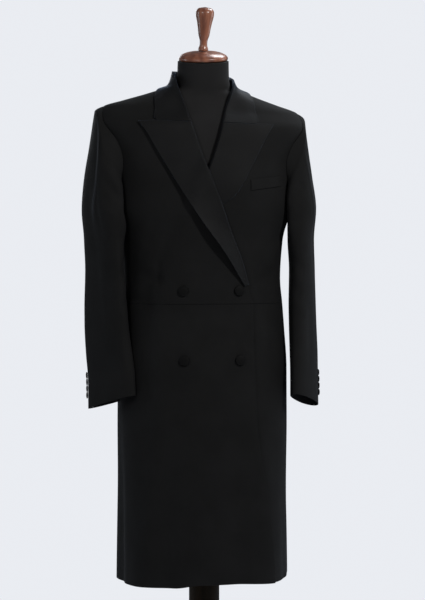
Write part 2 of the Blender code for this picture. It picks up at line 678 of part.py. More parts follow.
def lapel(collection, side):
    roll = roll_places(side)[1:ROLL_ROWS + 2]
    roll[-1, 1] -= SEAM_GAP / 2
    fractions = np.linspace(0, 1, len(roll)) ** ROLL_CROWDING
    edge = trace(front_line(LAPEL_EDGE[side], side), fractions)
    places = leaf_grid(side, roll, edge, len(roll) - 1, (1.0, 0.5, 0.15))
    lift = front_lift(side, places[..., 0], places[..., 1])
    if side == RIGHT:
        proud = Smooth(np.linspace(0, 1, len(TOP_LAPEL_PROUD)), TOP_LAPEL_PROUD)(fractions)
        lift = lift + proud[:, None] * np.array(LEAF_SHARES)[None] ** PROUD_POWER
    flat = np.zeros(len(roll))
    frames = [frame[:len(roll)] for frame in roll_frames(side)]
    outer, facing = turned_leaf(places, lift, frames, flat, flat)
    leaf_wall(collection, "lapel_" + SIDES[side], outer, facing, side, [-1])


def leaf_wall(collection, name, outer, facing, direction, seams):
    """A wall behind a leaf's visible face, square to its curl and alike along its seams."""
    normal = direction * grid_normals(outer)
    turned = len(CURL_ANGLES) + 2
    normal[:, :turned] = facing[:, :turned]
    normal[seams] = facing[seams]
    cloth_wall(collection, name, outer, outer - normal * CLOTH, "lapel_cloth")


def collar(collection):
    """Stand and fall in one, from the gorge of one side round the neck to the other."""
    halves = []
    facings = []
    stations = np.linspace(0, 1, len(COLLAR_EDGE))
    for side in (RIGHT, LEFT):
        front = roll_places(side)[ROLL_ROWS + 1:]
        front[0, 1] += SEAM_GAP / 2
        back = back_neckline(side)[1:]
        neckline = np.concatenate([front, back, [(side * math.pi, NECK_POINT)]])
        at = np.linspace(0, 1, len(neckline))
        edge_bearing = Smooth(stations, [side * math.radians(a) for a, _ in COLLAR_EDGE])(at)
        edge_height = Smooth(stations, [height for _, height in COLLAR_EDGE])(at)
        edge = np.stack([edge_bearing, edge_height], axis=-1)
        places = leaf_grid(side, neckline, edge, 0, (1.0, 0.3))
        stand = Smooth(stations, [height for height, _ in COLLAR_STAND])(at)
        lean = Smooth(stations, [lean for _, lean in COLLAR_STAND])(at)
        lift = front_lift(side, places[..., 0], places[..., 1])
        stand = stand * (1 - side * STAND_BIAS * (1 - at))
        up, beyond = [frame[ROLL_ROWS:] for frame in roll_frames(side)]
        rear = neckline[len(front):]
        rear_up = torso_normal(rear[:, 0], rear[:, 1])
        spot = torso(rear[:, 0], rear[:, 1])
        axis = np.stack([CENTRE_X(rear[:, 1]), CENTRE_Y(rear[:, 1]), spot[:, 2]], axis=-1)
        frames = (np.concatenate([up, rear_up]),
                  np.concatenate([beyond, square_to(axis - spot, rear_up)]))
        outer, facing = turned_leaf(places, lift, frames, stand, lean)
        halves.append(outer)
        facings.append(facing)
    outer = np.concatenate([halves[0], halves[1][-2::-1]], axis=0)
    facing = np.concatenate([facings[0], facings[1][-2::-1]], axis=0)
    leaf_wall(collection, "collar", outer, facing, -1, [0, -1])


def sleeve_sections(side, angles, inset):
    """Outer and inner points of the sleeve's sections at the given angles round them."""
    step = angles[1] - angles[0]
    around = np.concatenate([[angles[0] - step], angles, [angles[-1] + step]])
    start = torso(*armhole_point(side, around))
    start[:, 0] += side * SEAM_GAP
    rows = [section_points(section, side, np.radians(around)) for section in SLEEVE]
    outer = np.array([start] + rows)
    normal = -side * grid_normals(outer)
    middle = torso(*armhole_point(side, np.array([0.0, 180.0]))).mean(axis=0)
    toward = start - middle
    toward[:, 0] = 0
    end = unit(toward) + normal[1]
    # The wall's end at the armhole never leans in over the body's own edge
    end[:, 0] = -side * np.maximum(-side * end[:, 0], 0)
    normal[0] = unit(end)
    outer = outer[:, 1:-1]
    normal = normal[:, 1:-1]
    for column, direction in ((0, 1), (-1, -1)):
        outer[:, column] += inset * unit(outer[:, column + direction] - outer[:, column])
    return outer, outer - normal * CLOTH


def section_points(section, side, turned):
    shift = -side * section.shift
    upper = smooth_step((section.outer_z - LEAN_FROM) / (LEAN_TO - LEAN_FROM))
    lean = SHOULDER_LEAN * side * section.outer_x * upper
    outer = np.array([section.outer_x + shift, section.outer_z + lean])
    inner = np.array([section.inner_x + shift, section.inner_z])
    middle = (outer + inner) / 2
    half = np.linalg.norm(outer - inner) / 2
    rise = math.atan2(outer[1] - inner[1], outer[0] - inner[0])
    turn = math.radians(section.turn - side * section.extra)
    thick = np.array([side * math.cos(rise) * math.cos(turn), -math.cos(rise) * math.sin(turn),
                      math.sin(rise)])
    broad = np.array([side * math.sin(turn), math.cos(turn), 0.0])
    power = 2 / SLEEVE_SQUARENESS
    across = np.sign(np.cos(turned)) * np.abs(np.cos(turned)) ** power * half
    along = np.sign(np.sin(turned)) * np.abs(np.sin(turned)) ** power * section.breadth
    centre = np.array([side * middle[0], section.centre_y, middle[1]])
    points = centre - across[:, None] * thick - along[:, None] * broad
    points[:, 2] += section.slant * along / section.breadth
    away = (np.degrees(turned) - FOLD_ANGLE + 180) % 360 - 180
    fold = section.fold * (1 - side * FOLD_BIAS) * np.exp(-(away / FOLD_SPREAD) ** 2)
    fold *= smooth_step((FOLD_TOP - points[:, 2]) / FOLD_RISE)
    points[:, 0] -= side * fold
    points[:, 1] -= FOLD_FORWARD * fold
    return keep_clear(points, SLEEVE_CLEARANCE)


def keep_clear(points, clearance):
    """Moves points straight out from the column until they clear the body of the coat."""
    height = np.minimum(points[:, 2], CLEAR_BELOW)
    centre = np.stack([CENTRE_X(height), CENTRE_Y(height)], axis=-1)
    out = points[:, :2] - centre
    bearing = np.arctan2(out[:, 0], -out[:, 1])
    surface = torso(bearing, height)[:, :2] - centre
    least = np.linalg.norm(surface, axis=1) + clearance
    reach = np.maximum(np.linalg.norm(out, axis=1), least)
    points[:, :2] = centre + unit(out) * reach[:, None]
    return points


def sleeve(collection, side):
    top = np.arange(FRONT_SLEEVE_SEAM, BACK_SLEEVE_SEAM + 1, ARMHOLE_STEP)
    under = np.arange(BACK_SLEEVE_SEAM, FRONT_SLEEVE_SEAM + 361, ARMHOLE_STEP)
    for name, angles in (("top_sleeve_", top), ("under_sleeve_", under)):
        outer, inner = sleeve_sections(side, angles.astype(float), SEAM_GAP / 2)
        cloth_wall(collection, name + SIDES[side], outer, inner)


def turned_mesh(name, profile, sides=TURNED_SIDES):
    """A body turned from a profile of (radius, height) that starts and ends on the axis."""
    bm = bmesh.new()
    verts = [bm.verts.new((radius, 0.0, height)) for radius, height in profile]
    edges = [bm.edges.new(pair) for pair in zip(verts, verts[1:])]
    bmesh.ops.spin(bm, geom=verts + edges, cent=(0, 0, 0), axis=(0, 0, 1),
                   angle=math.tau, steps=sides, use_merge=True)
    bmesh.ops.remove_doubles(bm, verts=bm.verts, dist=1e-6)
    return mesh_from(name, bm)


def place_turned(item, spot, direction):
    turn = Vector((0, 0, 1)).rotation_difference(Vector(direction)).to_matrix().to_4x4()
    item.matrix_world = Matrix.Translation(Vector(spot)) @ turn


def button_profile(radius, height):
    shank = radius * 0.35
    return [(0.0, 0.0), (shank, 0.0), (shank, height * 0.28), (radius, height * 0.38),
            (radius * 0.93, height * 0.75), (radius * 0.60, height * 0.95), (0.0, height)]


def front_buttons(collection):
    mesh = turned_mesh("front_button", button_profile(BUTTON_RADIUS, BUTTON_HEIGHT), BUTTON_SIDES)
    number = 1
    for height in BUTTON_ROWS:
        for reach in BUTTON_COLUMNS:
            bearing = bearing_at_reach(reach, height)
            normal = torso_normal(bearing, np.array(height))
            lift = front_lift(RIGHT, bearing, height) + SEAM_GAP
            spot = torso(bearing, height) + normal * lift
            item = add_object(collection, f"front_button_{number}", mesh.copy(), "covered_button")
            place_turned(item, spot, normal)
            number += 1


def cuff_buttons(collection):
    profile = button_profile(CUFF_BUTTON_RADIUS, CUFF_BUTTON_HEIGHT)
    mesh = turned_mesh("cuff_button", profile, BUTTON_SIDES)
    for side in (RIGHT, LEFT):
        angles = CUFF_BUTTON_ANGLE[side] + CUFF_BUTTON_SPAN * np.array([-1, 0, 1])
        outer = sleeve_sections(side, angles, 0.0)[0]
        line = outer[:, 1]
        travelled = arc_fractions(line[::-1])
        for number in range(CUFF_BUTTON_COUNT):
            at = LOWEST_CUFF_BUTTON + number * CUFF_BUTTON_PITCH
            spot = np.array([np.interp(at, travelled, line[::-1, axis]) for axis in range(3)])
            row = len(line) - 1 - int(np.searchsorted(travelled, at))
            normal = np.cross(outer[row, 2] - outer[row, 0], line[row] - line[row + 1])
            normal /= np.linalg.norm(normal)
            if normal[0] * side < 0:
                normal = -normal
            name = f"cuff_button_{SIDES[side]}_{number + 1}"
            item = add_object(collection, name, mesh.copy(), "covered_button")
            place_turned(item, spot + normal * CUFF_BUTTON_GAP, normal)


def breast_welt(collection):
    """The welt of the breast pocket, a strip that lies on the wearer's left forepart."""
    reaches = np.linspace(WELT_REACH[0], WELT_REACH[1], WELT_COLUMNS + 1)
    lows = np.linspace(WELT_LOW_INNER, WELT_LOW_OUTER, WELT_COLUMNS + 1)
    rows = []
    for rise in WELT_RISES:
        heights = lows + rise * WELT_DEPTH
        rows.append(np.stack([bearing_at_reach(reaches, heights), heights], axis=-1))
    torso_panel(collection, "breast_welt", np.array(rows), WELT_LIFT)


def dress_form(collection):
    """A smooth padded torso with a neck and no limbs."""
    bm = bmesh.new()
    angles = np.linspace(0, math.tau, FORM_SIDES, endpoint=False)
    rings = []
    for row in FORM:
        across = np.sin(angles)
        along = np.cos(angles)
        depth = np.where(along > 0, row.front, row.back)
        part = (np.abs(across) / row.half_width) ** FORM_SQUARENESS
        part = part + (np.abs(along) / depth) ** FORM_SQUARENESS
        radius = part ** (-1 / FORM_SQUARENESS)
        leaning = smooth_step((row.height - LEAN_FROM) / (LEAN_TO - LEAN_FROM))
        leaning *= smooth_step((NECK_POINT - row.height) / NECK_RISE)
        centre_x = FORM_CENTRE_X + (CENTRE_X(row.height) - FORM_CENTRE_X) * leaning
        x = centre_x + radius * across
        height = row.height + SHOULDER_LEAN * x * leaning
        rings.append([bm.verts.new(place)
                      for place in zip(x, row.centre_y - radius * along, height)])
    for lower, upper in zip(rings, rings[1:]):
        for index in range(FORM_SIDES):
            after = (index + 1) % FORM_SIDES
            bm.faces.new((lower[index], lower[after], upper[after], upper[index]))
    bm.faces.new(rings[0][::-1])
    bm.faces.new(rings[-1])
    add_object(collection, "form_torso", mesh_from("form_torso", bm), "form_jersey")


def stand(collection):
    add_object(collection, "base", turned_mesh("base", BASE_PROFILE), "dark_wood")
    foot = BASE_PROFILE[-1][1] + SEAM_GAP
    top = FORM[0].height - SEAM_GAP
    profile = [(0.0, 0.0), (COLUMN_RADIUS, 0.0), (COLUMN_RADIUS, top - foot), (0.0, top - foot)]
    column = add_object(collection, "column", turned_mesh("column", profile), "dark_wood")
    column.location = (0, 0, foot)
    neck = FORM[-1]
    forward = math.tan(math.radians(NECK_TILT))
    direction = Vector((math.tan(math.radians(CAP_SWAY)), -forward, 1.0)).normalized()
    cap_foot = Vector((FORM_CENTRE_X, neck.centre_y, neck.height + CAP_CLEARANCE))
    cap = add_object(collection, "neck_cap", turned_mesh("neck_cap", CAP_PROFILE), "mahogany")
    place_turned(cap, cap_foot, direction)
    finial_foot = cap_foot + direction * (CAP_PROFILE[-1][1] + CAP_GAP)
    finial = add_object(collection, "finial", turned_mesh("finial", FINIAL_PROFILE), "mahogany")
    sway = math.tan(math.radians(FINIAL_SWAY))
    place_turned(finial, finial_foot, Vector((sway, -forward, 1.0)))


def build():
    clear_scene()
    coat = make_collection("double_breasted_long_coat_on_form")
    for side in (RIGHT, LEFT):
        forepart(coat, side)
        lapel(coat, side)
        side_body(coat, side)
        back_panel(coat, side)
        skirt(coat, side)
        sleeve(coat, side)
    collar(coat)
    breast_welt(coat)
    front_buttons(coat)
    cuff_buttons(coat)
    dress_form(coat)
    stand(coat)


build()
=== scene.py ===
import json
import math
from collections import namedtuple

import bmesh
import bpy
from mathutils import Matrix, Vector
import numpy as np

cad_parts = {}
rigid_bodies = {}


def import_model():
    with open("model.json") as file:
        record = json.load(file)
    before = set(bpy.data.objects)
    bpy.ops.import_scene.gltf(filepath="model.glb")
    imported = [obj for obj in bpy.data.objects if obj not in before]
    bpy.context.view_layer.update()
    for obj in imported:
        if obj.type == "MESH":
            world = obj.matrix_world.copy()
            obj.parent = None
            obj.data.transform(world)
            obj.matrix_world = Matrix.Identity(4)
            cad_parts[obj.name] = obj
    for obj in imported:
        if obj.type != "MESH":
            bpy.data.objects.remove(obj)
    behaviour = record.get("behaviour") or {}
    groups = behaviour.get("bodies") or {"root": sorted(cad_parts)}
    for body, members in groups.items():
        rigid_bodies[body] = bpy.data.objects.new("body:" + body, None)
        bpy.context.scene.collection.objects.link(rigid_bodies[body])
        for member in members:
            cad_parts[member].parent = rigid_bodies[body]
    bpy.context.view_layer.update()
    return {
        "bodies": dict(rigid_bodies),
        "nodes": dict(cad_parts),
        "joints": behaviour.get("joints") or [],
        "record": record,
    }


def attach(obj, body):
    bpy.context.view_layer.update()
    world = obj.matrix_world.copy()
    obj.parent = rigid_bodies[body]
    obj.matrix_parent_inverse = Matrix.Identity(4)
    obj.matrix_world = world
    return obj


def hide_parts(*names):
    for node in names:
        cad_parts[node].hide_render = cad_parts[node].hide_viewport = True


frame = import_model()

RIGHT = -1
LEFT = 1
SIDES = {RIGHT: "right", LEFT: "left"}

# Cloth walls, and how far one layer stands off the layer below it
CLOTH = 0.0017
SEAM_GAP = 0.0003
LAYER = CLOTH + 0.0013
TOP_FRONT_LIFT = 2 * LAYER + 0.0015
OVERLAP_RAMP = 0.035
ROLL_CLEARANCE = 0.006
SLEEVE_CLEARANCE = 0.003

# Heights
HEM = 0.43
WAIST_SEAM = 1.0475
ROLL_END = 1.090
GORGE = 1.4470
NECK_POINT = 1.527
SHOULDER_POINT = 1.477
ARMPIT = 1.262

# Outer surface of the coat on the torso, one row for each height
SQUARENESS = 2.4
Girth = namedtuple("Girth", "height half_width front back centre_x centre_y")
TORSO = [Girth(*row) for row in (
    (0.400, 0.1890, 0.152, 0.172, -0.0015, 0.014),
    (0.540, 0.1880, 0.146, 0.162, -0.0015, 0.015),
    (0.630, 0.1875, 0.142, 0.156, -0.0015, 0.016),
    (0.790, 0.1895, 0.137, 0.147, -0.0015, 0.018),
    (0.900, 0.1895, 0.132, 0.137, -0.0015, 0.020),
    (0.990, 0.1840, 0.123, 0.116, -0.0015, 0.020),
    (1.044, 0.1800, 0.117, 0.098, -0.0015, 0.020),
    (1.098, 0.1755, 0.115, 0.090, -0.0020, 0.020),
    (1.187, 0.1820, 0.119, 0.101, -0.0030, 0.020),
    (1.262, 0.2030, 0.124, 0.115, -0.0040, 0.020),
    (1.300, 0.2040, 0.125, 0.121, -0.0045, 0.020),
    (1.360, 0.2100, 0.120, 0.125, -0.0050, 0.019),
    (1.400, 0.2236, 0.113, 0.122, -0.0050, 0.017),
    (1.440, 0.2420, 0.101, 0.112, -0.0055, 0.014),
    (1.477, 0.2180, 0.075, 0.088, -0.0065, 0.011),
    (1.493, 0.1715, 0.067, 0.080, -0.0065, 0.009),
    (1.507, 0.1275, 0.061, 0.074, -0.0060, 0.007),
    (1.517, 0.0990, 0.058, 0.071, -0.0050, 0.006),
    (NECK_POINT, 0.0695, 0.055, 0.066, -0.0040, 0.005),
)]
# The right shoulder of the wearer sits a little higher than the left one
SHOULDER_LEAN = -0.033
LEAN_FROM = 1.25
LEAN_TO = 1.45

# Soft folds of the skirt: bearing and spread in degrees, swell at the hem
Fold = namedtuple("Fold", "bearing spread swell")
SKIRT_FOLDS = [Fold(*row) for row in (
    (-152, 9, 0.010),
    (-128, 9, -0.008),
    (-106, 9, 0.005),
    (-84, 8, -0.008),
    (-58, 9, 0.006),
    (-36, 8, -0.006),
    (-12, 12, 0.004),
    (22, 10, -0.005),
    (46, 9, 0.006),
    (70, 8, -0.005),
    (98, 9, 0.009),
    (122, 9, -0.008),
    (148, 9, 0.010),
)]
FOLDS_START = 0.98

# The hem's rise above HEM by bearing in degrees
HEM_RISE = [(-180, 0.0), (-100, -0.005), (-60, -0.004), (-30, -0.004), (-10, 0.003), (20, 0.003),
            (50, 0.000), (75, 0.001), (100, 0.007), (180, 0.0)]

# Edges of the fronts as (height, reach): reach is past the centre front, to the far side
SKIRT_EDGE = [(HEM - 0.02, 0.137), (0.486, 0.1337), (0.6185, 0.121), (0.788, 0.101),
              (0.893, 0.0975), (WAIST_SEAM, 0.0955)]
# Roll line from its end to the neck point as (height, reach)
ROLL_LINE = [(ROLL_END, 0.0835), (1.140, 0.0700), (1.178, 0.0555), (1.2285, 0.0375),
             (1.266, 0.0250), (1.3375, -0.0015), (1.364, -0.0120), (1.400, -0.0240),
             (GORGE, -0.0375)]
# Neckline from the gorge to the neck point, under the collar
NECKLINE = [(GORGE, -0.0375), (1.474, -0.0470), (1.500, -0.0580), (1.517, -0.0660),
            (1.5235, -0.0690), (NECK_POINT, -0.0695)]
# Outer edges of the lapels from the tip to the peak as (height, reach)
LAPEL_EDGE = {
    RIGHT: [(1.0865, 0.0765), (1.150, 0.0390), (1.2504, -0.0290), (1.3829, -0.1105),
            (1.4277, -0.1370), (1.4440, -0.1500)],
    LEFT: [(1.0865, 0.0765), (1.180, 0.0300), (1.266, -0.0290), (1.285, -0.0560),
           (1.320, -0.0800), (1.3829, -0.1130), (1.4277, -0.1370), (1.4480, -0.1500)],
}
# Outer edge of the collar from its corner to the centre back as (bearing in degrees, height)
COLLAR_EDGE = [(54.0, 1.4545), (60.0, 1.4830), (71.5, 1.5095), (90.0, 1.5190),
               (120.0, 1.5145), (150.0, 1.5000), (180.0, 1.4940)]
# Stand of the collar along the same stations: height and lean towards the neck
COLLAR_STAND = [(0.000, 0.0000), (0.006, 0.0006), (0.015, 0.0018), (0.024, 0.0030),
                (0.028, 0.0030), (0.030, 0.0030), (0.030, 0.0030)]
# The collar stands higher on the wearer's right by this share of its stand
STAND_BIAS = 0.36
FULL_STAND = 0.018
# Collar and lapel share the gorge as far as this reach, where the notch opens
NOTCH_REACH = -0.110
# How far the top lapel stands proud along its outer edge, from the tip to the peak
TOP_LAPEL_PROUD = [0.0010, 0.0100, 0.0150, 0.0110, 0.0060, 0.0040, 0.0030, 0.0020]
PROUD_POWER = 1.3
COLLAR_EASE = 0.0010
# How much of the notch each row of a leaf takes on, from the gorge away
LAPEL_BLEND = (1.0, 0.5, 0.15)
COLLAR_BLEND = (1.0, 0.3)

# Armhole in side view, and the seams that meet it, as angles from its lowest point
ARMHOLE_CENTRE_Y = 0.014
ARMHOLE_HALF_DEPTH = 0.067
ARMHOLE_STEP = 4.5
SIDE_SEAM_ANGLE = 18
BACK_SEAM_ANGLE = -54
SHOULDER_ANGLE = 180
# Bearings of those seams at the waist seam and at the hem
SIDE_SEAM_WAIST = 92.0
BACK_SEAM_WAIST = 148.0
BACK_SEAM_HEM = 152.0

# How far along its way to the armhole a seam has turned at two heights between, as shares
SEAM_BENDS = [(0.08, 0.30), (0.55, 0.75)]
# Heights that the centre back runs through between the waist and the neck
SPINE_HEIGHTS = (1.20, 1.40)
TRACE_STEPS = 240
NORMAL_STEP = 1e-4

# Rows and columns of the grids, as many for each row or column of the solids
FINER = 4
SHOULDER_COLUMNS = 12 * FINER
SIDE_BODY_ROWS = 11 * FINER
WAIST_ROWS = 1 * FINER
ROLL_ROWS = 14 * FINER
ROLL_CROWDING = 0.82
NECKLINE_ROWS = 5 * FINER
SKIRT_ROWS = 9 * FINER
SKIRT_COLUMNS = 20 * FINER
HEM_FADE_POWER = 8
LEAF_FINER = 3
LEAF_STEPS = (0.0, 0.09, 0.22, 0.42, 0.64, 0.82, 1.0)
LEAF_COLUMNS = (len(LEAF_STEPS) - 1) * LEAF_FINER
LEAF_SHARES = np.interp(np.arange(LEAF_COLUMNS + 1) / LEAF_FINER, np.arange(len(LEAF_STEPS)),
                        LEAF_STEPS)
# The column of a leaf where the notch opens
NOTCH_COLUMN = 4 * LEAF_FINER
FALL_STEEPNESS = 9
SETTLE_RATE = 3
CURL_START = -35.0
CURL_MIDDLE = 5.0
CURL_ANGLES = tuple(np.arange(-25.0, 80.0, 10.0))

# Sleeve sections from the armhole to the cuff. The outer and inner points are given by
# their height and distance from the centre line, shift moves the wearer's right sleeve
# out and the left one in, turn is the angle of the section from fore-and-aft, and fold is how
# far the cloth in front of the armpit folds in over the chest.
Section = namedtuple(
    "Section", "outer_z outer_x inner_z inner_x shift breadth centre_y turn extra slant fold")
SLEEVE = [Section(*row) for row in (
    (1.4660, 0.2350, 1.2565, 0.2065, 0.0080, 0.0700, 0.014, 0.0, 0.0, 0.0, 0.029),
    (1.4350, 0.2390, 1.2490, 0.2085, 0.0085, 0.0730, 0.013, 1.0, 0.0, 0.0, 0.031),
    (1.3900, 0.2455, 1.2410, 0.2085, 0.0085, 0.0760, 0.011, 2.5, 0.0, 0.0, 0.031),
    (1.3350, 0.2540, 1.2310, 0.2080, 0.0080, 0.0770, 0.010, 6.0, 0.5, 0.0, 0.028),
    (1.2620, 0.2605, 1.2130, 0.2055, 0.0050, 0.0760, 0.007, 11.5, 1.0, 0.0, 0.024),
    (1.1900, 0.2530, 1.1780, 0.1965, 0.0035, 0.0750, 0.005, 17.0, 2.0, 0.0, 0.006),
    (1.1200, 0.2510, 1.1200, 0.1955, 0.0000, 0.0735, 0.006, 20.0, 3.0, 0.0, 0.0),
    (1.0500, 0.2500, 1.0500, 0.1950, -0.0010, 0.0715, 0.004, 25.0, 4.0, 0.0, 0.0),
    (0.9950, 0.2485, 0.9950, 0.1948, -0.0020, 0.0700, -0.003, 28.0, 4.7, 0.002, 0.0),
    (0.9400, 0.2460, 0.9400, 0.1940, -0.0045, 0.0690, -0.010, 31.0, 5.5, 0.006, 0.0),
    (0.8850, 0.2415, 0.8850, 0.1932, -0.0065, 0.0680, -0.020, 33.5, 6.0, 0.012, 0.0),
    (0.8290, 0.2402, 0.8290, 0.1932, -0.0060, 0.0670, -0.030, 35.5, 6.5, 0.018, 0.0),
)]
SLEEVE_SQUARENESS = 2.15
# Where round a sleeve its front fold lies and how far it spreads, in degrees, how much of it
# goes forward, and how much more of it there is on the wearer's right
FOLD_ANGLE = 58.0
FOLD_SPREAD = 36.0
FOLD_TOP = 1.420
FOLD_RISE = 0.060
FOLD_FORWARD = 0.35
FOLD_BIAS = 0.12
# Below this height a sleeve clears the body of the coat
CLEAR_BELOW = 1.36
FRONT_SLEEVE_SEAM = 54
BACK_SLEEVE_SEAM = 288

# Buttons
BUTTON_COLUMNS = (-0.0570, 0.0645)
BUTTON_ROWS = (1.0770, 0.924)
BUTTON_RADIUS = 0.0115
BUTTON_HEIGHT = 0.0052
CUFF_BUTTON_RADIUS = 0.0073
CUFF_BUTTON_HEIGHT = 0.0042
CUFF_BUTTON_PITCH = 0.0149
LOWEST_CUFF_BUTTON = 0.030
CUFF_BUTTON_ANGLE = {RIGHT: 250.0, LEFT: 241.0}
CUFF_BUTTON_COUNT = 4
CUFF_ANGLE_STEP = 4.0
BUTTON_SIDES = 48
CUFF_BUTTON_SIDES = 32
# A covered button as shares of its radius and height: shank, drawn-in back, rim and dome
BUTTON_SHARES = [(0.0, 0.0), (0.35, 0.0), (0.35, 0.03), (0.90, 0.05), (1.0, 0.26), (1.0, 0.60),
                 (0.93, 0.80), (0.85, 0.76), (0.76, 0.82), (0.50, 0.95), (0.0, 1.0)]

# Breast pocket welt on the wearer's left: heights of its lower edge and reach of its ends
WELT_LOW_INNER = 1.298
WELT_LOW_OUTER = 1.308
WELT_DEPTH = 0.024
WELT_LIFT = CLOTH + 0.0006
WELT_REACH = (0.094, 0.166)
WELT_ROWS = 2 * FINER
WELT_COLUMNS = 5 * FINER

# Dress form, as sections inside the coat
FormRing = namedtuple("FormRing", "height half_width front back centre_y")
FORM = [FormRing(*row) for row in (
    (0.785, 0.120, 0.088, 0.095, 0.018),
    (0.790, 0.150, 0.108, 0.116, 0.018),
    (0.806, 0.168, 0.120, 0.128, 0.018),
    (0.900, 0.176, 0.122, 0.127, 0.020),
    (1.000, 0.167, 0.111, 0.102, 0.020),
    (1.098, 0.158, 0.104, 0.079, 0.020),
    (1.187, 0.165, 0.108, 0.090, 0.020),
    (1.262, 0.178, 0.113, 0.104, 0.020),
    (1.330, 0.184, 0.111, 0.112, 0.019),
    (1.400, 0.187, 0.101, 0.110, 0.017),
    (1.440, 0.187, 0.090, 0.101, 0.014),
    (1.466, 0.176, 0.075, 0.086, 0.011),
    (1.484, 0.173, 0.065, 0.076, 0.009),
    (1.4972, 0.147, 0.059, 0.069, 0.008),
    (1.5090, 0.112, 0.055, 0.063, 0.006),
    (1.522, 0.0630, 0.054, 0.058, 0.003),
    (1.550, 0.0575, 0.054, 0.055, -0.001),
    (1.5775, 0.0565, 0.054, 0.054, -0.003),
)]
FORM_SIDES = 128
FORM_ROWS = 180
FORM_SQUARENESS = 2.3
FORM_CENTRE_X = -0.0025
# The shoulders' lean fades out over this height below the neck point
NECK_RISE = 0.012

# Wooden parts, as turned profiles of (radius, height above the part's own foot)
COLUMN_RADIUS = 0.034
BASE_PROFILE = [(0.0, 0.0), (0.190, 0.0), (0.190, 0.010), (0.185, 0.017), (0.160, 0.023),
                (0.070, 0.028), (0.052, 0.032), (0.0, 0.032)]
CAP_PROFILE = [(0.0, 0.0), (0.0510, 0.0), (0.0550, 0.0035), (0.0555, 0.0075),
               (0.0515, 0.0130), (0.0405, 0.0185), (0.0255, 0.0220), (0.0, 0.0220)]
FINIAL_PROFILE = [(0.0, 0.0), (0.0110, 0.0), (0.0114, 0.0040), (0.0098, 0.0080),
                  (0.0084, 0.0130), (0.0088, 0.0240), (0.0125, 0.0340), (0.0145, 0.0500),
                  (0.0172, 0.0640), (0.0205, 0.0780), (0.0202, 0.0880), (0.0150, 0.0945),
                  (0.0, 0.0970)]
NECK_TILT = 8.0
CAP_SWAY = -1.5
FINIAL_SWAY = 1.7
CAP_CLEARANCE = 0.0080
CAP_GAP = 0.0010
# From this height the form's neck leans to meet the cap
LEANS_FROM = 1.550
TURNED_SIDES = 96
CORNER_CUT = 0.2
MERGE_DISTANCE = 1e-6

# Soft creases of the coat's body, from one place to another. Angles are bearings in degrees,
# and a trough's depth is negative. They fade out by their ends, but not to nothing.
CREASE_FADE = 4
CREASE_END = 0.25
Crease = namedtuple("Crease", "angle height end_angle end_height width depth")
BODY_CREASES = [Crease(*row) for row in (
    (-49, 1.050, -48, 1.151, 0.006, -0.0024),
    (49, 1.050, 48, 1.149, 0.006, -0.0022),
    (-66, 1.118, -38, 1.088, 0.012, -0.0022),
    (-74, 1.086, -44, 1.066, 0.009, 0.0016),
    (-80, 1.062, -58, 1.052, 0.008, -0.0018),
    (-58, 1.168, -46, 1.248, 0.014, -0.0018),
    (-40, 1.150, -30, 1.232, 0.016, 0.0014),
    (-86, 1.200, -70, 1.236, 0.013, -0.0026),
    (-30, 1.020, -52, 0.935, 0.016, -0.0016),
    (44, 1.094, 70, 1.122, 0.011, -0.0021),
    (50, 1.064, 78, 1.090, 0.009, 0.0015),
    (38, 1.160, 54, 1.236, 0.015, -0.0020),
    (62, 1.176, 84, 1.228, 0.013, -0.0024),
    (30, 1.010, 48, 0.900, 0.018, -0.0015),
    (24, 1.236, 40, 1.330, 0.020, 0.0014),
    (-110, 1.070, -150, 1.096, 0.011, -0.0024),
    (-118, 1.112, -158, 1.128, 0.013, 0.0018),
    (-104, 1.176, -140, 1.240, 0.015, -0.0030),
    (108, 1.082, 146, 1.062, 0.010, -0.0022),
    (114, 1.120, 160, 1.106, 0.014, 0.0019),
    (106, 1.190, 138, 1.252, 0.016, -0.0028),
    (-166, 1.060, 170, 1.084, 0.012, -0.0018),
    (-132, 1.270, -138, 1.390, 0.018, -0.0024),
    (134, 1.262, 140, 1.372, 0.016, -0.0026),
    (158, 1.300, 164, 1.400, 0.020, 0.0014),
)]
CREASE_RADIUS = 0.19

# Creases of the sleeves. Angles run round a sleeve as its sections do: 0 lies against the
# body, 90 in front, 180 outside and 270 behind.
SLEEVE_CREASES = {
    RIGHT: [Crease(*row) for row in (
        (60, 1.268, 112, 1.330, 0.011, -0.0034),
        (84, 1.236, 138, 1.276, 0.010, 0.0024),
        (66, 1.205, 120, 1.176, 0.010, -0.0026),
        (58, 1.132, 118, 1.096, 0.009, -0.0036),
        (74, 1.098, 140, 1.072, 0.010, 0.0022),
        (60, 1.062, 108, 1.034, 0.008, -0.0030),
        (92, 1.020, 152, 0.990, 0.011, -0.0018),
        (122, 1.430, 140, 1.200, 0.008, -0.0040),
        (166, 1.350, 172, 0.960, 0.012, -0.0022),
        (118, 0.992, 132, 0.856, 0.013, 0.0020),
        (236, 1.300, 250, 1.020, 0.013, -0.0030),
        (300, 1.190, 256, 1.140, 0.010, -0.0032),
        (306, 1.120, 262, 1.088, 0.009, -0.0026),
    )],
    LEFT: [Crease(*row) for row in (
        (58, 1.272, 104, 1.320, 0.010, -0.0030),
        (70, 1.222, 128, 1.250, 0.012, -0.0026),
        (80, 1.186, 142, 1.168, 0.010, 0.0020),
        (60, 1.146, 124, 1.118, 0.009, -0.0034),
        (62, 1.092, 112, 1.060, 0.010, -0.0032),
        (84, 1.052, 146, 1.020, 0.011, 0.0020),
        (158, 1.390, 170, 1.140, 0.011, -0.0022),
        (150, 1.060, 156, 0.880, 0.014, -0.0018),
        (240, 1.290, 252, 1.040, 0.014, -0.0028),
        (304, 1.170, 258, 1.126, 0.010, -0.0030),
        (300, 1.106, 264, 1.070, 0.009, -0.0024),
    )],
}
SLEEVE_CREASE_RADIUS = 0.056
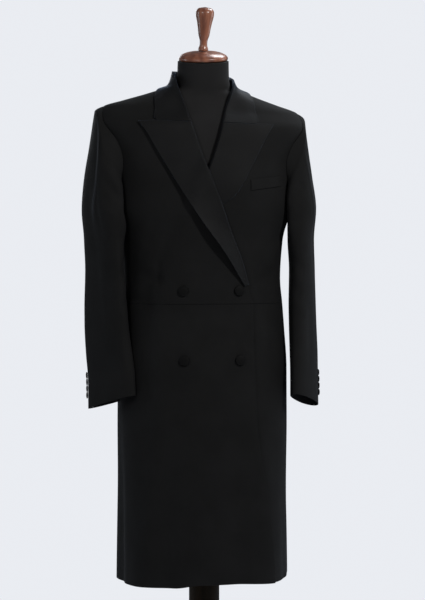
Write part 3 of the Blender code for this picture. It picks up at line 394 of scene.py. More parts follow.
# A crease ridge down each sleeve as (height, angle), with a highlight painted along it as a
# lighter colour
PRESSED_CREASES = {
    RIGHT: [(1.220, 164.0), (1.266, 149.0), (1.332, 131.0), (1.365, 129.0), (1.411, 132.0),
            (1.442, 140.0), (1.470, 161.0)],
    LEFT: [(1.200, 160.0), (1.231, 152.0), (1.290, 136.0), (1.348, 122.0), (1.390, 114.0)],
}
PRESSED_RIDGE = 0.0030
PRESSED_WIDTH = 0.0040
# How wide and how strong the painted highlight along each sleeve's crease is
PAINTED_HIGHLIGHT_WIDTH = 0.0030
PAINTED_HIGHLIGHT_STRENGTH = {RIGHT: 0.6, LEFT: 0.25}
PRESSED_FADE = 0.050
# Rows of a finer sleeve between two of its sections
SLEEVE_FINER = 5
SLEEVE_STEP = 1.5


class Smooth:
    """A curve through keyed values that never overshoots between two of them."""

    def __init__(self, keys, values):
        self.keys = np.array(keys, float)
        self.values = np.array(values, float)
        steps = np.diff(self.keys)
        rises = np.diff(self.values) / steps
        self.slopes = np.empty(len(self.keys))
        self.slopes[0] = rises[0]
        self.slopes[-1] = rises[-1]
        product = rises[:-1] * rises[1:]
        total = rises[:-1] + rises[1:]
        safe = np.where(product > 0, total, 1.0)
        self.slopes[1:-1] = np.where(product > 0, 2 * product / safe, 0.0)

    def __call__(self, at):
        at = np.clip(at, self.keys[0], self.keys[-1])
        low = np.clip(np.searchsorted(self.keys, at, side="right") - 1, 0, len(self.keys) - 2)
        step = self.keys[low + 1] - self.keys[low]
        t = (at - self.keys[low]) / step
        start = self.values[low] * (1 + 2 * t) * (1 - t) ** 2
        end = self.values[low + 1] * t * t * (3 - 2 * t)
        leave = self.slopes[low] * step * t * (1 - t) ** 2
        arrive = self.slopes[low + 1] * step * t * t * (t - 1)
        return start + end + leave + arrive


def smooth_step(value):
    value = np.clip(value, 0.0, 1.0)
    return value * value * (3 - 2 * value)


def between(angle, centre):
    """Degrees from a centre round to an angle, from -180 to 180."""
    return (angle - centre + 180) % 360 - 180


def leaning(height):
    """How much of the shoulders' lean a height has."""
    return smooth_step((height - LEAN_FROM) / (LEAN_TO - LEAN_FROM))


def column_curve(rows, name):
    return Smooth([row.height for row in rows], [getattr(row, name) for row in rows])


HALF_WIDTH = column_curve(TORSO, "half_width")
FRONT_DEPTH = column_curve(TORSO, "front")
BACK_DEPTH = column_curve(TORSO, "back")
CENTRE_X = column_curve(TORSO, "centre_x")
CENTRE_Y = column_curve(TORSO, "centre_y")
SKIRT_REACH = Smooth(*zip(*SKIRT_EDGE))
ROLL_REACH = Smooth(*zip(*(ROLL_LINE + NECKLINE[1:])))
HEM_CURVE = Smooth([math.radians(angle) for angle, _ in HEM_RISE], [rise for _, rise in HEM_RISE])


def fold_swell(bearing, height):
    """How far the skirt's folds push the cloth out, growing towards the hem."""
    swell = np.zeros(np.broadcast(bearing, height).shape)
    for fold in SKIRT_FOLDS:
        away = between(np.degrees(bearing), fold.bearing)
        swell = swell + fold.swell * np.exp(-(away / fold.spread) ** 2)
    return swell * smooth_step((FOLDS_START - height) / (FOLDS_START - HEM))


def line_swell(across, height, start, end, width, depth):
    """A soft ridge or trough along a line, fading out towards both of its ends."""
    along = np.array(end) - np.array(start)
    length = np.hypot(*along)
    x = across - start[0]
    z = height - start[1]
    at = np.clip((x * along[0] + z * along[1]) / length ** 2, 0, 1)
    away = np.hypot(x - at * along[0], z - at * along[1])
    fade = smooth_step(CREASE_FADE * at) * smooth_step(CREASE_FADE * (1 - at))
    return depth * (CREASE_END + (1 - CREASE_END) * fade) * np.exp(-(away / width) ** 2)


def crease_swell(creases, angles, height, radius):
    """What soft creases add to a form of about the given radius, at angles in degrees."""
    swell = np.zeros(np.broadcast(angles, height).shape)
    for crease in creases:
        away = np.radians(between(angles, crease.angle)) * radius
        turn = math.radians(between(crease.end_angle, crease.angle)) * radius
        swell = swell + line_swell(away, height, (0.0, crease.height), (turn, crease.end_height),
                                   crease.width, crease.depth)
    return swell


def ring_radius(across, along, half_width, front, back, squareness):
    """How far a squared ring lies from its centre, by the sine and cosine of a bearing."""
    depth = np.where(along > 0, front, back)
    width_part = (np.abs(across) / half_width) ** squareness
    return (width_part + (np.abs(along) / depth) ** squareness) ** (-1 / squareness)


def other_share(share):
    """How much of its depth a torso ring reaches at a share of its width, or the reverse."""
    return (1 - np.clip(share, 0, 1) ** SQUARENESS) ** (1 / SQUARENESS)


def torso(bearing, height):
    """Points on the coat's outer surface."""
    bearing = np.asarray(bearing, float)
    height = np.asarray(height, float)
    across = np.sin(bearing)
    along = np.cos(bearing)
    radius = ring_radius(across, along, HALF_WIDTH(height), FRONT_DEPTH(height),
                         BACK_DEPTH(height), SQUARENESS)
    radius = radius + fold_swell(bearing, height)
    radius = radius + crease_swell(BODY_CREASES, np.degrees(bearing), height, CREASE_RADIUS)
    x = CENTRE_X(height) + radius * across
    y = CENTRE_Y(height) - radius * along
    lean = SHOULDER_LEAN * x * leaning(height)
    return np.stack([x, y, height + lean + np.zeros_like(x)], axis=-1)


def torso_normal(bearing, height):
    along = torso(bearing + NORMAL_STEP, height) - torso(bearing - NORMAL_STEP, height)
    up = torso(bearing, height + NORMAL_STEP) - torso(bearing, height - NORMAL_STEP)
    return unit(np.cross(along, up))


def bearing_at_reach(reach, height):
    """Bearing on the front of the torso at a distance across from the centre front."""
    return np.arctan2(reach, FRONT_DEPTH(height) * other_share(np.abs(reach) / HALF_WIDTH(height)))


def front_line(keys, side):
    """Torso places (bearing, height) of a line given as (height, reach) past the centre."""
    return [(float(bearing_at_reach(-side * reach, height)), height) for height, reach in keys]


def arc_fractions(points):
    lengths = np.linalg.norm(np.diff(points, axis=0), axis=1)
    return np.concatenate([[0.0], np.cumsum(lengths)])


def trace(places, fractions):
    """Places along the smooth line through the given ones, at fractions of its length."""
    places = np.array(places, float)
    travelled = arc_fractions(torso(places[:, 0], places[:, 1]))
    fine = np.linspace(0, travelled[-1], TRACE_STEPS)
    bearing = Smooth(travelled, places[:, 0])(fine)
    height = Smooth(travelled, places[:, 1])(fine)
    length = arc_fractions(torso(bearing, height))
    at = np.interp(np.asarray(fractions) * length[-1], length, fine)
    return np.stack([np.interp(at, fine, bearing), np.interp(at, fine, height)], axis=-1)


def across_panel(first, last, columns):
    """Rows of places from each place of the first edge to that of the last edge."""
    shares = np.linspace(0, 1, columns + 1)
    return np.array([trace([start, end], shares) for start, end in zip(first, last)])


def armhole_point(side, angle):
    """A point on the armhole, whose angle runs from the lowest point over the front."""
    turn = np.radians(angle)
    middle = (ARMPIT + SHOULDER_POINT) / 2
    half_height = (SHOULDER_POINT - ARMPIT) / 2
    y = ARMHOLE_CENTRE_Y - ARMHOLE_HALF_DEPTH * np.sin(turn)
    height = middle - half_height * np.cos(turn)
    out = y - CENTRE_Y(height)
    depth = np.where(out < 0, FRONT_DEPTH(height), BACK_DEPTH(height))
    x = HALF_WIDTH(height) * other_share(np.abs(out) / depth)
    return np.arctan2(side * x, -out), height


def armhole_line(side, start, end):
    count = round(abs(end - start) / ARMHOLE_STEP)
    places = []
    for index in range(count + 1):
        bearing, height = armhole_point(side, start + (end - start) * index / count)
        places.append((float(bearing), float(height)))
    return places


def seam_line(side, waist_bearing, armhole_angle):
    """A seam from the waist to the armhole, leaving the waist straight up."""
    end = armhole_line(side, armhole_angle, armhole_angle + ARMHOLE_STEP)[0]
    start = (side * math.radians(waist_bearing), WAIST_SEAM)
    bends = [(start[0] + turned * (end[0] - start[0]), start[1] + risen * (end[1] - start[1]))
             for turned, risen in SEAM_BENDS]
    places = trace([start, *bends, end], np.linspace(0, 1, SIDE_BODY_ROWS + 1))
    places[0] = start
    places[-1] = end
    return places


def far_edge(height):
    """How far the lower front reaches past the centre at a height."""
    height = np.asarray(height, float)
    return np.where(height > ROLL_END, ROLL_REACH(height), SKIRT_REACH(height))


def front_lift(side, bearing, height):
    """How far a front stands off the torso: the top front clears what it laps over."""
    if side == LEFT:
        return np.zeros(np.broadcast(bearing, height).shape)
    x = torso(bearing, height)[..., 0] - CENTRE_X(height)
    begins = -far_edge(height) - ROLL_CLEARANCE
    lift = TOP_FRONT_LIFT * smooth_step((x - begins + OVERLAP_RAMP) / OVERLAP_RAMP)
    return np.where(np.abs(bearing) < math.pi / 2, lift, 0.0)


def grid_normals(points):
    """Normals of a grid of points, rows going up and columns going to the wearer's left."""
    across = np.gradient(points, axis=1)
    up = np.gradient(points, axis=0)
    return unit(np.cross(across, up))


def unit(vectors):
    return vectors / np.linalg.norm(vectors, axis=-1, keepdims=True)


def square_to(vectors, normal):
    """Unit vectors along the given ones but square to the normal."""
    return unit(vectors - normal * np.sum(vectors * normal, axis=-1, keepdims=True))


def roll_places(side):
    """Places up a front edge: the waist seam, the roll line and then the neckline."""
    waist = front_line([(WAIST_SEAM, SKIRT_EDGE[-1][1])], side)
    fractions = np.linspace(0, 1, ROLL_ROWS + 1) ** ROLL_CROWDING
    roll = trace(front_line(ROLL_LINE, side), fractions)
    below = trace([waist[0], roll[0]], np.linspace(0, 1, WAIST_ROWS + 1))[:-1]
    neckline = trace(front_line(NECKLINE, side), np.linspace(0, 1, NECKLINE_ROWS + 1))
    neckline[-1] = (side * math.pi / 2, NECK_POINT)
    return np.concatenate([below, roll, neckline[1:]])


def inset_column(places, column, rows, side, direction):
    """Moves the first rows of an edge column along the torso by half a seam gap."""
    height = places[:rows, column, 1]
    spot = torso(places[:rows, column, 0], height)
    radius = np.hypot(spot[:, 0] - CENTRE_X(height), spot[:, 1] - CENTRE_Y(height))
    places[:rows, column, 0] += side * direction * SEAM_GAP / 2 / radius


def back_neckline(side):
    """Places round the back of the neck from the shoulder seam, short of the centre back."""
    bearings = np.radians(np.linspace(90, 180, NECKLINE_ROWS + 1)[:-1])
    return np.array([(side * bearing, NECK_POINT) for bearing in bearings])


def forepart_places(side):
    front = roll_places(side)
    seam = seam_line(side, SIDE_SEAM_WAIST, SIDE_SEAM_ANGLE)
    armhole = armhole_line(side, SIDE_SEAM_ANGLE, SHOULDER_ANGLE)
    back = np.concatenate([seam[:-1], armhole])
    places = across_panel(front, back, SHOULDER_COLUMNS)
    inset_column(places, -1, len(seam), side, -1)
    places[0, :, 1] += SEAM_GAP / 2
    places[-1, :, 0] -= side * SEAM_GAP / 2 / HALF_WIDTH(places[-1, :, 1])
    return places


def side_body_places(side):
    front = seam_line(side, SIDE_SEAM_WAIST, SIDE_SEAM_ANGLE)
    back = seam_line(side, BACK_SEAM_WAIST, BACK_SEAM_ANGLE)
    top = np.array(armhole_line(side, SIDE_SEAM_ANGLE, BACK_SEAM_ANGLE))
    places = across_panel(front, back, len(top) - 1)
    shares = np.linspace(0, 1, len(front))[:, None, None]
    places += shares ** 2 * (top - places[-1])[None]
    places[-1] = top
    inset_column(places, 0, len(front), side, 1)
    inset_column(places, -1, len(front), side, -1)
    places[0, :, 1] += SEAM_GAP / 2
    return places


def skirt_seam(side):
    """Places up the seam between the skirt and the back, from the hem to the waist."""
    bearings = np.radians(np.linspace(BACK_SEAM_HEM, BACK_SEAM_WAIST, SKIRT_ROWS + 1))
    return np.stack([side * bearings, np.linspace(HEM, WAIST_SEAM, SKIRT_ROWS + 1)], axis=-1)


def back_places(side):
    """The back from the hem to the shoulder, with its neckline at the top of the centre."""
    armhole = armhole_line(side, BACK_SEAM_ANGLE, -SHOULDER_ANGLE)
    upper_seam = seam_line(side, BACK_SEAM_WAIST, BACK_SEAM_ANGLE)
    lower_seam = skirt_seam(side)
    outside = np.concatenate([lower_seam[:-1], upper_seam[:-1], armhole])
    centre_rows = len(outside) - NECKLINE_ROWS
    centre = side * math.pi
    spine = trace([(centre, height) for height in (WAIST_SEAM, *SPINE_HEIGHTS, NECK_POINT)],
                  np.linspace(0, 1, centre_rows - SKIRT_ROWS))
    neck = np.concatenate([spine, back_neckline(side)[::-1]])
    skirt = np.stack([np.full(SKIRT_ROWS, centre), lower_seam[:-1, 1]], axis=-1)
    inside = np.concatenate([skirt, neck])
    places = across_panel(inside, outside, SHOULDER_COLUMNS)
    inset_column(places, -1, len(lower_seam) + len(upper_seam) - 1, side, 1)
    inset_column(places, 0, centre_rows, side, -1)
    places[0, :, 1] += HEM_CURVE(places[0, :, 0])
    places[-1, :, 0] += side * SEAM_GAP / 2 / HALF_WIDTH(places[-1, :, 1])
    return places


def skirt_places(side):
    back = skirt_seam(side)
    front = front_line([(height, float(SKIRT_REACH(height))) for height in back[:, 1]], side)
    places = across_panel(front, back, SKIRT_COLUMNS)
    inset_column(places, -1, len(back), side, -1)
    places[-1, :, 1] -= SEAM_GAP / 2
    fade = np.linspace(1, 0, SKIRT_ROWS + 1)[:, None] ** HEM_FADE_POWER
    places[..., 1] += fade * HEM_CURVE(places[..., 0])
    return places


def roll_frames(side):
    """Along a front's roll line and neckline: the torso's normal, and square to both the
    way off the panel's edge."""
    line = roll_places(side)[WAIST_ROWS:]
    points = torso(line[:, 0], line[:, 1])
    up = torso_normal(line[:, 0], line[:, 1])
    beyond = square_to(side * np.cross(up, np.gradient(points, axis=0)), up)
    return up, beyond


def gorge_row(side, start, corner):
    """Places from the roll line along the gorge to the notch, and on to a leaf's corner."""
    notch = (float(bearing_at_reach(-side * NOTCH_REACH, start[1])), start[1])
    opens = LEAF_SHARES[NOTCH_COLUMN]
    before = LEAF_SHARES[:NOTCH_COLUMN + 1] / opens
    after = (LEAF_SHARES[NOTCH_COLUMN:] - opens) / (1 - opens)
    return np.concatenate([trace([start, notch], before), trace([notch, corner], after)[1:]])


def leaf_grid(side, roll, edge, gorge, blend):
    """Places from the roll line to the outer edge; rows near the gorge bend into the notch."""
    grid = np.array([trace([start, end], LEAF_SHARES) for start, end in zip(roll, edge)])
    bent = gorge_row(side, roll[gorge], edge[gorge]) - grid[gorge]
    steps = np.arange(len(blend) * FINER + 1)
    weights = np.interp(steps / FINER, range(len(blend) + 1), blend + (0.0,))
    for away, weight in zip(steps, weights):
        row = gorge + away if gorge == 0 else gorge - away
        grid[row] += weight * bent
    return grid


def axis_points(height, level):
    """Points on the middle line of the torso for some heights, each at its own level."""
    return np.stack([CENTRE_X(height), CENTRE_Y(height), level], axis=-1)


def turned_leaf(places, lift, frames, stand, lean):
    """Outer points and normals of a leaf that curls round a roll line and lies back.

    stand and lean raise the roll line off the panel's edge, up and towards the neck.
    """
    flat_up, beyond = frames
    normal = torso_normal(places[..., 0], places[..., 1])
    base = torso(places[..., 0], places[..., 1])
    edge = base[:, 0]
    upright = smooth_step(stand / FULL_STAND)[:, None]
    crest_up = unit(flat_up * (1 - upright) + np.array([0.0, 0.0, 1.0]) * upright)
    to_neck = unit(axis_points(places[:, 0, 1], edge[:, 2]) - edge)
    inward = square_to(beyond * (1 - upright) + to_neck * upright, crest_up)
    radius = CLOTH / 2 + LAYER
    raised = crest_up * stand[:, None] + inward * lean[:, None]
    middle = edge + flat_up * (lift[:, :1] - CLOTH / 2)
    facing = []
    curl = []
    for angle in (CURL_START,) + CURL_ANGLES:
        turn = math.radians(angle)
        up = float(smooth_step((angle - CURL_START) / (CURL_MIDDLE - CURL_START)))
        side_way = unit(beyond * (1 - up) + inward * up)
        up_way = unit(flat_up * (1 - up) + crest_up * up)
        facing.append(side_way * math.cos(turn) + up_way * math.sin(turn))
        curl.append(middle + raised * up + radius * facing[-1])
    share = LEAF_SHARES[None, :, None]
    settle = np.clip(SETTLE_RATE * share, 0, 1)
    out = unit(crest_up[:, None] * (1 - settle) + normal * settle)
    arch = (1 - share) ** FALL_STEEPNESS
    ease = COLLAR_EASE * np.minimum(stand[:, None, None] / FULL_STAND, 1)
    leaf = base + out * (lift[..., None] + LAYER + ease) + raised[:, None] * arch
    outer = np.concatenate([np.stack(curl, axis=1), leaf], axis=1)
    return outer, np.concatenate([np.stack(facing, axis=1), out], axis=1)


def leaf_walls(outer, facing, direction, seams):
    """Outer and inner points of a leaf, square to its curl and alike along its seams."""
    normal = direction * grid_normals(outer)
    turned = len(CURL_ANGLES) + 2
    normal[:, :turned] = facing[:, :turned]
    normal[seams] = facing[seams]
    return outer, outer - normal * CLOTH


def lapel_points(side):
    roll = roll_places(side)[WAIST_ROWS:WAIST_ROWS + ROLL_ROWS + 1]
    roll[-1, 1] -= SEAM_GAP / 2
    fractions = np.linspace(0, 1, len(roll)) ** ROLL_CROWDING
    edge = trace(front_line(LAPEL_EDGE[side], side), fractions)
    places = leaf_grid(side, roll, edge, len(roll) - 1, LAPEL_BLEND)
    lift = front_lift(side, places[..., 0], places[..., 1])
    if side == RIGHT:
        proud = Smooth(np.linspace(0, 1, len(TOP_LAPEL_PROUD)), TOP_LAPEL_PROUD)(fractions)
        lift = lift + proud[:, None] * LEAF_SHARES[None] ** PROUD_POWER
    flat = np.zeros(len(roll))
    frames = [frame[:len(roll)] for frame in roll_frames(side)]
    outer, facing = turned_leaf(places, lift, frames, flat, flat)
    return leaf_walls(outer, facing, side, [-1])


def station_values(table, column, at):
    """A column of a table whose rows are evenly spaced from 0 to 1, at shares between them."""
    return Smooth(np.linspace(0, 1, len(table)), [row[column] for row in table])(at)


def collar_points():
    """Stand and fall in one, from the gorge of one side round the neck to the other."""
    halves = []
    facings = []
    for side in (RIGHT, LEFT):
        front = roll_places(side)[WAIST_ROWS + ROLL_ROWS:]
        front[0, 1] += SEAM_GAP / 2
        back = back_neckline(side)[1:]
        neckline = np.concatenate([front, back, [(side * math.pi, NECK_POINT)]])
        at = np.linspace(0, 1, len(neckline))
        edge = np.stack([side * np.radians(station_values(COLLAR_EDGE, 0, at)),
                         station_values(COLLAR_EDGE, 1, at)], axis=-1)
        places = leaf_grid(side, neckline, edge, 0, COLLAR_BLEND)
        lift = front_lift(side, places[..., 0], places[..., 1])
        stand = station_values(COLLAR_STAND, 0, at) * (1 - side * STAND_BIAS * (1 - at))
        lean = station_values(COLLAR_STAND, 1, at)
        up, beyond = [frame[ROLL_ROWS:] for frame in roll_frames(side)]
        rear = neckline[len(front):]
        rear_up = torso_normal(rear[:, 0], rear[:, 1])
        spot = torso(rear[:, 0], rear[:, 1])
        rear_in = square_to(axis_points(rear[:, 1], spot[:, 2]) - spot, rear_up)
        frames = (np.concatenate([up, rear_up]), np.concatenate([beyond, rear_in]))
        outer, facing = turned_leaf(places, lift, frames, stand, lean)
        halves.append(outer)
        facings.append(facing)
    outer = np.concatenate([halves[0], halves[1][-2::-1]], axis=0)
    facing = np.concatenate([facings[0], facings[1][-2::-1]], axis=0)
    return leaf_walls(outer, facing, -1, [0, -1])


def keep_clear(points, clearance):
    """Moves points straight out from the column until they clear the body of the coat."""
    height = np.minimum(points[:, 2], CLEAR_BELOW)
    centre = np.stack([CENTRE_X(height), CENTRE_Y(height)], axis=-1)
    out = points[:, :2] - centre
    bearing = np.arctan2(out[:, 0], -out[:, 1])
    surface = torso(bearing, height)[:, :2] - centre
    least = np.linalg.norm(surface, axis=1) + clearance
    reach = np.maximum(np.linalg.norm(out, axis=1), least)
    points[:, :2] = centre + unit(out) * reach[:, None]
    return points


def pressed_crease(side, angles, height, width):
    """How near each place on a sleeve lies to its crease line, from 0 to 1 on it: this places both
    the crease's ridge and its painted highlight.
    """
    heights, turns = zip(*PRESSED_CREASES[side])
    curve = Smooth(heights, np.radians(turns) * SLEEVE_CREASE_RADIUS)
    slope = (curve(height + NORMAL_STEP) - curve(height - NORMAL_STEP)) / (2 * NORMAL_STEP)
    away = (np.radians(angles) * SLEEVE_CREASE_RADIUS - curve(height)) / np.hypot(1, slope)
    fade = smooth_step((height - heights[0]) / PRESSED_FADE)
    fade = fade * smooth_step((heights[-1] - height) / PRESSED_FADE)
    return fade * np.exp(-(away / width) ** 2)


def sleeve_swell(side, angles, height):
    """What its creases add to a sleeve."""
    ridge = PRESSED_RIDGE * pressed_crease(side, angles, height, PRESSED_WIDTH)
    return ridge + crease_swell(SLEEVE_CREASES[side], angles, height, SLEEVE_CREASE_RADIUS)


def section_points(section, side, angles):
    turned = np.radians(angles)
    shift = -side * section.shift
    lean = SHOULDER_LEAN * side * section.outer_x * leaning(section.outer_z)
    outer = np.array([section.outer_x + shift, section.outer_z + lean])
    inner = np.array([section.inner_x + shift, section.inner_z])
    middle = (outer + inner) / 2
    half = np.linalg.norm(outer - inner) / 2
    rise = math.atan2(outer[1] - inner[1], outer[0] - inner[0])
    turn = math.radians(section.turn - side * section.extra)
    thick = np.array([side * math.cos(rise) * math.cos(turn), -math.cos(rise) * math.sin(turn),
                      math.sin(rise)])
    broad = np.array([side * math.sin(turn), math.cos(turn), 0.0])
    power = 2 / SLEEVE_SQUARENESS
    swell = sleeve_swell(side, angles, middle[1] - (outer[1] - inner[1]) / 2 * np.cos(turned))
    across = np.sign(np.cos(turned)) * np.abs(np.cos(turned)) ** power * (half + swell)
    along = np.sign(np.sin(turned)) * np.abs(np.sin(turned)) ** power * (section.breadth + swell)
    centre = np.array([side * middle[0], section.centre_y, middle[1]])
    points = centre - across[:, None] * thick - along[:, None] * broad
    points[:, 2] += section.slant * along / section.breadth
    away = between(angles, FOLD_ANGLE)
    fold = section.fold * (1 - side * FOLD_BIAS) * np.exp(-(away / FOLD_SPREAD) ** 2)
    fold *= smooth_step((FOLD_TOP - points[:, 2]) / FOLD_RISE)
    points[:, 0] -= side * fold
    points[:, 1] -= FOLD_FORWARD * fold
    return keep_clear(points, SLEEVE_CLEARANCE)


def finer_sections():
    """The sleeve's sections with finer ones between them, on smooth curves."""
    stations = np.arange(len(SLEEVE))
    at = np.linspace(0, stations[-1], stations[-1] * SLEEVE_FINER + 1)
    columns = [Smooth(stations, [getattr(row, name) for row in SLEEVE])(at)
               for name in Section._fields]
    return [Section(*row) for row in np.array(columns).T]


def sleeve_points(side, angles, inset):
    """Outer and inner points of a sleeve at the given angles round it."""
    step = angles[1] - angles[0]
    around = np.concatenate([[angles[0] - step], angles, [angles[-1] + step]])
    start = torso(*armhole_point(side, around))
    start[:, 0] += side * SEAM_GAP
    sections = [section_points(section, side, around) for section in finer_sections()]
    rise = sections[0] - start
    outward = side * rise[:, 0] > 0
    # The sleeve head rolls over the armhole: out first at the shoulder, forward first in front
    head = []
    for share in np.arange(SLEEVE_FINER) / SLEEVE_FINER:
        early = math.sin(share * math.pi / 2)
        late = 1 - math.cos(share * math.pi / 2)
        even = np.full(len(around), (early + late) / 2)
        shares = np.stack([np.where(outward, early, late), np.where(outward, even, early), even])
        head.append(start + rise * shares.T)
    outer = np.array(head + sections)
    normal = -side * grid_normals(outer)
    toward = start - torso(*armhole_point(side, np.array([0.0, 180.0]))).mean(axis=0)
    toward[:, 0] = 0
    end = unit(toward) + normal[1]
    # The wall's end at the armhole never leans in over the body's own edge
    end[:, 0] = -side * np.maximum(-side * end[:, 0], 0)
    normal[0] = unit(end)
    outer = outer[:, 1:-1]
    normal = normal[:, 1:-1]
    for column, direction in ((0, 1), (-1, -1)):
        outer[:, column] += inset * unit(outer[:, column + direction] - outer[:, column])
    return outer, outer - normal * CLOTH


def welt_places():
    """The welt of the breast pocket, a strip that lies on the wearer's left forepart."""
    reaches = np.linspace(*WELT_REACH, WELT_COLUMNS + 1)
    lows = np.linspace(WELT_LOW_INNER, WELT_LOW_OUTER, WELT_COLUMNS + 1)
    rows = []
    for rise in np.linspace(0, 1, WELT_ROWS + 1):
        heights = lows + rise * WELT_DEPTH
        rows.append(np.stack([bearing_at_reach(reaches, heights), heights], axis=-1))
    return np.array(rows)


def panel_points(places, lift=0.0):
    """Outer and inner points of a panel that follows the torso, moved out by its lift."""
    bearing = places[..., 0]
    height = places[..., 1]
    normal = torso_normal(bearing, height)
    lift = np.zeros(bearing.shape) + lift
    outer = torso(bearing, height) + normal * lift[..., None]
    return outer, outer - normal * CLOTH


# Materials: scales are for each metre, and bumps are (distance, strength)
DRIFT_ENDS = (0.35, 0.65)
DRIFT_SCALE = 14.0
RUMPLE_SCALE = 38.0
RUMPLE_DEPTH = 0.0016
NOISE_DETAIL = 3.0
FIBRE_SCALE = 900.0
FIBRE_DETAIL = 2.0
FIBRE_BUMP = (0.00025, 0.4)
ROUGHNESS_SPREAD = 0.08
RIB_ANGLE = 45.0
THREAD_ANGLE = 90.0
THREAD_SHARE = 0.6
WEAVE_DISTORTION = 0.6
WEAVE_DETAIL = 1.0
WEAVE_BUMP = (0.00018, 0.5)
GRAIN_DRAWN = 0.12
GRAIN_SCALE = 60.0
GRAIN_DETAIL = 8.0
GRAIN_BUMP = (0.0004, 0.2)
PORE_SCALE = 420.0
PORE_BUMP = (0.00015, 0.25)
# Colour of the painted highlight along the sleeve creases, standing in for light caught on their
# ridges
PAINTED_HIGHLIGHT_COLOUR = (0.055, 0.059, 0.068)


def add_node(tree, kind, inputs=None, **settings):
    """Adds a node; inputs are sockets to link from or plain values, by socket name or number."""
    node = tree.nodes.new(kind)
    for name, value in settings.items():
        setattr(node, name, value)
    for name, value in (inputs or {}).items():
        if isinstance(value, bpy.types.NodeSocket):
            tree.links.new(value, node.inputs[name])
        else:
            node.inputs[name].default_value = value
    return node


def new_material(name, roughness, **sockets):
    material = bpy.data.materials.new(name)
    material.use_nodes = True
    tree = material.node_tree
    shader = tree.nodes["Principled BSDF"]
    shader.inputs["Roughness"].default_value = roughness
    for socket, value in sockets.items():
        shader.inputs[socket.replace("_", " ")].default_value = value
    return material, tree, shader


def noise(tree, coordinates, scale, detail=NOISE_DETAIL):
    """A noise, to use as a height or as a share from 0 to 1."""
    return add_node(tree, "ShaderNodeTexNoise", {"Vector": coordinates, "Scale": scale,
                                                 "Detail": detail}).outputs["Fac"]


def drifting_colour(tree, share, colours):
    """A colour that drifts between two colours with a share."""
    ramp = add_node(tree, "ShaderNodeValToRGB", {"Fac": share})
    for element, position, colour in zip(ramp.color_ramp.elements, DRIFT_ENDS, colours):
        element.position = position
        element.color = (*colour, 1.0)
    return ramp.outputs["Color"]


def bump_chain(tree, shader, layers):
    """Bumps one on another, each given as (height socket, distance, strength)."""
    below = None
    for height, distance, strength in layers:
        inputs = {"Height": height, "Distance": distance, "Strength": strength}
        if below is not None:
            inputs["Normal"] = below
        below = add_node(tree, "ShaderNodeBump", inputs).outputs["Normal"]
    tree.links.new(below, shader.inputs["Normal"])


def twill(tree, weave, pitch):
    """Diagonal ribs of a weave, and the threads that cross them, as one height."""
    heights = []
    for angle, period in ((RIB_ANGLE, pitch), (THREAD_ANGLE, pitch * THREAD_SHARE)):
        turned = add_node(tree, "ShaderNodeMapping",
                          {"Vector": weave, "Rotation": (0.0, 0.0, math.radians(angle))})
        # A wave texture of scale 1 repeats every tenth of pi
        wave = add_node(tree, "ShaderNodeTexWave",
                        {"Vector": turned.outputs["Vector"], "Scale": math.pi / (10 * period),
                         "Distortion": WEAVE_DISTORTION, "Detail": WEAVE_DETAIL})
        heights.append(wave.outputs["Fac"])
    return add_node(tree, "ShaderNodeMath", {0: heights[0], 1: heights[1]},
                    operation="MULTIPLY_ADD").outputs[0]


def cloth_material(name, colours, roughness, pitch, bumpy, **sockets):
    """Woven cloth: twill and loose fibres in the bump, a colour that drifts a little, and a
    highlight painted into the colour where a mesh's mask marks it.
    """
    material, tree, shader = new_material(name, roughness, **sockets)
    place = add_node(tree, "ShaderNodeTexCoord")
    spot = place.outputs["Object"]
    colour = drifting_colour(tree, noise(tree, spot, DRIFT_SCALE), colours)
    # A highlight painted into the base colour where the mesh's mask marks it
    painted_highlight = add_node(tree, "ShaderNodeAttribute", attribute_name="painted_highlight")
    highlighted_colour = add_node(tree, "ShaderNodeMix", {0: painted_highlight.outputs["Fac"], 6: colour,
                                            7: (*PAINTED_HIGHLIGHT_COLOUR, 1.0)}, data_type="RGBA")
    tree.links.new(highlighted_colour.outputs[2], shader.inputs["Base Color"])
    fibre = noise(tree, spot, FIBRE_SCALE, FIBRE_DETAIL)
    spread = add_node(tree, "ShaderNodeMapRange",
                      {"Value": fibre, "To Min": roughness - ROUGHNESS_SPREAD,
                       "To Max": roughness + ROUGHNESS_SPREAD})
    tree.links.new(spread.outputs["Result"], shader.inputs["Roughness"])
    bump_chain(tree, shader, [(noise(tree, spot, RUMPLE_SCALE), RUMPLE_DEPTH, bumpy),
                              (twill(tree, place.outputs["UV"], pitch), *WEAVE_BUMP),
                              (fibre, *FIBRE_BUMP)])
    return material


def wood_material(name, colours, roughness, **sockets):
    """Turned wood: fine grain drawn out along the turning's axis."""
    material, tree, shader = new_material(name, roughness, **sockets)
    place = add_node(tree, "ShaderNodeTexCoord")
    drawn = add_node(tree, "ShaderNodeMapping", {"Vector": place.outputs["Object"],
                                                 "Scale": (1.0, 1.0, GRAIN_DRAWN)})
    grain = noise(tree, drawn.outputs["Vector"], GRAIN_SCALE, GRAIN_DETAIL)
    tree.links.new(drifting_colour(tree, grain, colours), shader.inputs["Base Color"])
    pores = noise(tree, drawn.outputs["Vector"], PORE_SCALE)
    bump_chain(tree, shader, [(grain, *GRAIN_BUMP), (pores, *PORE_BUMP)])
    return material


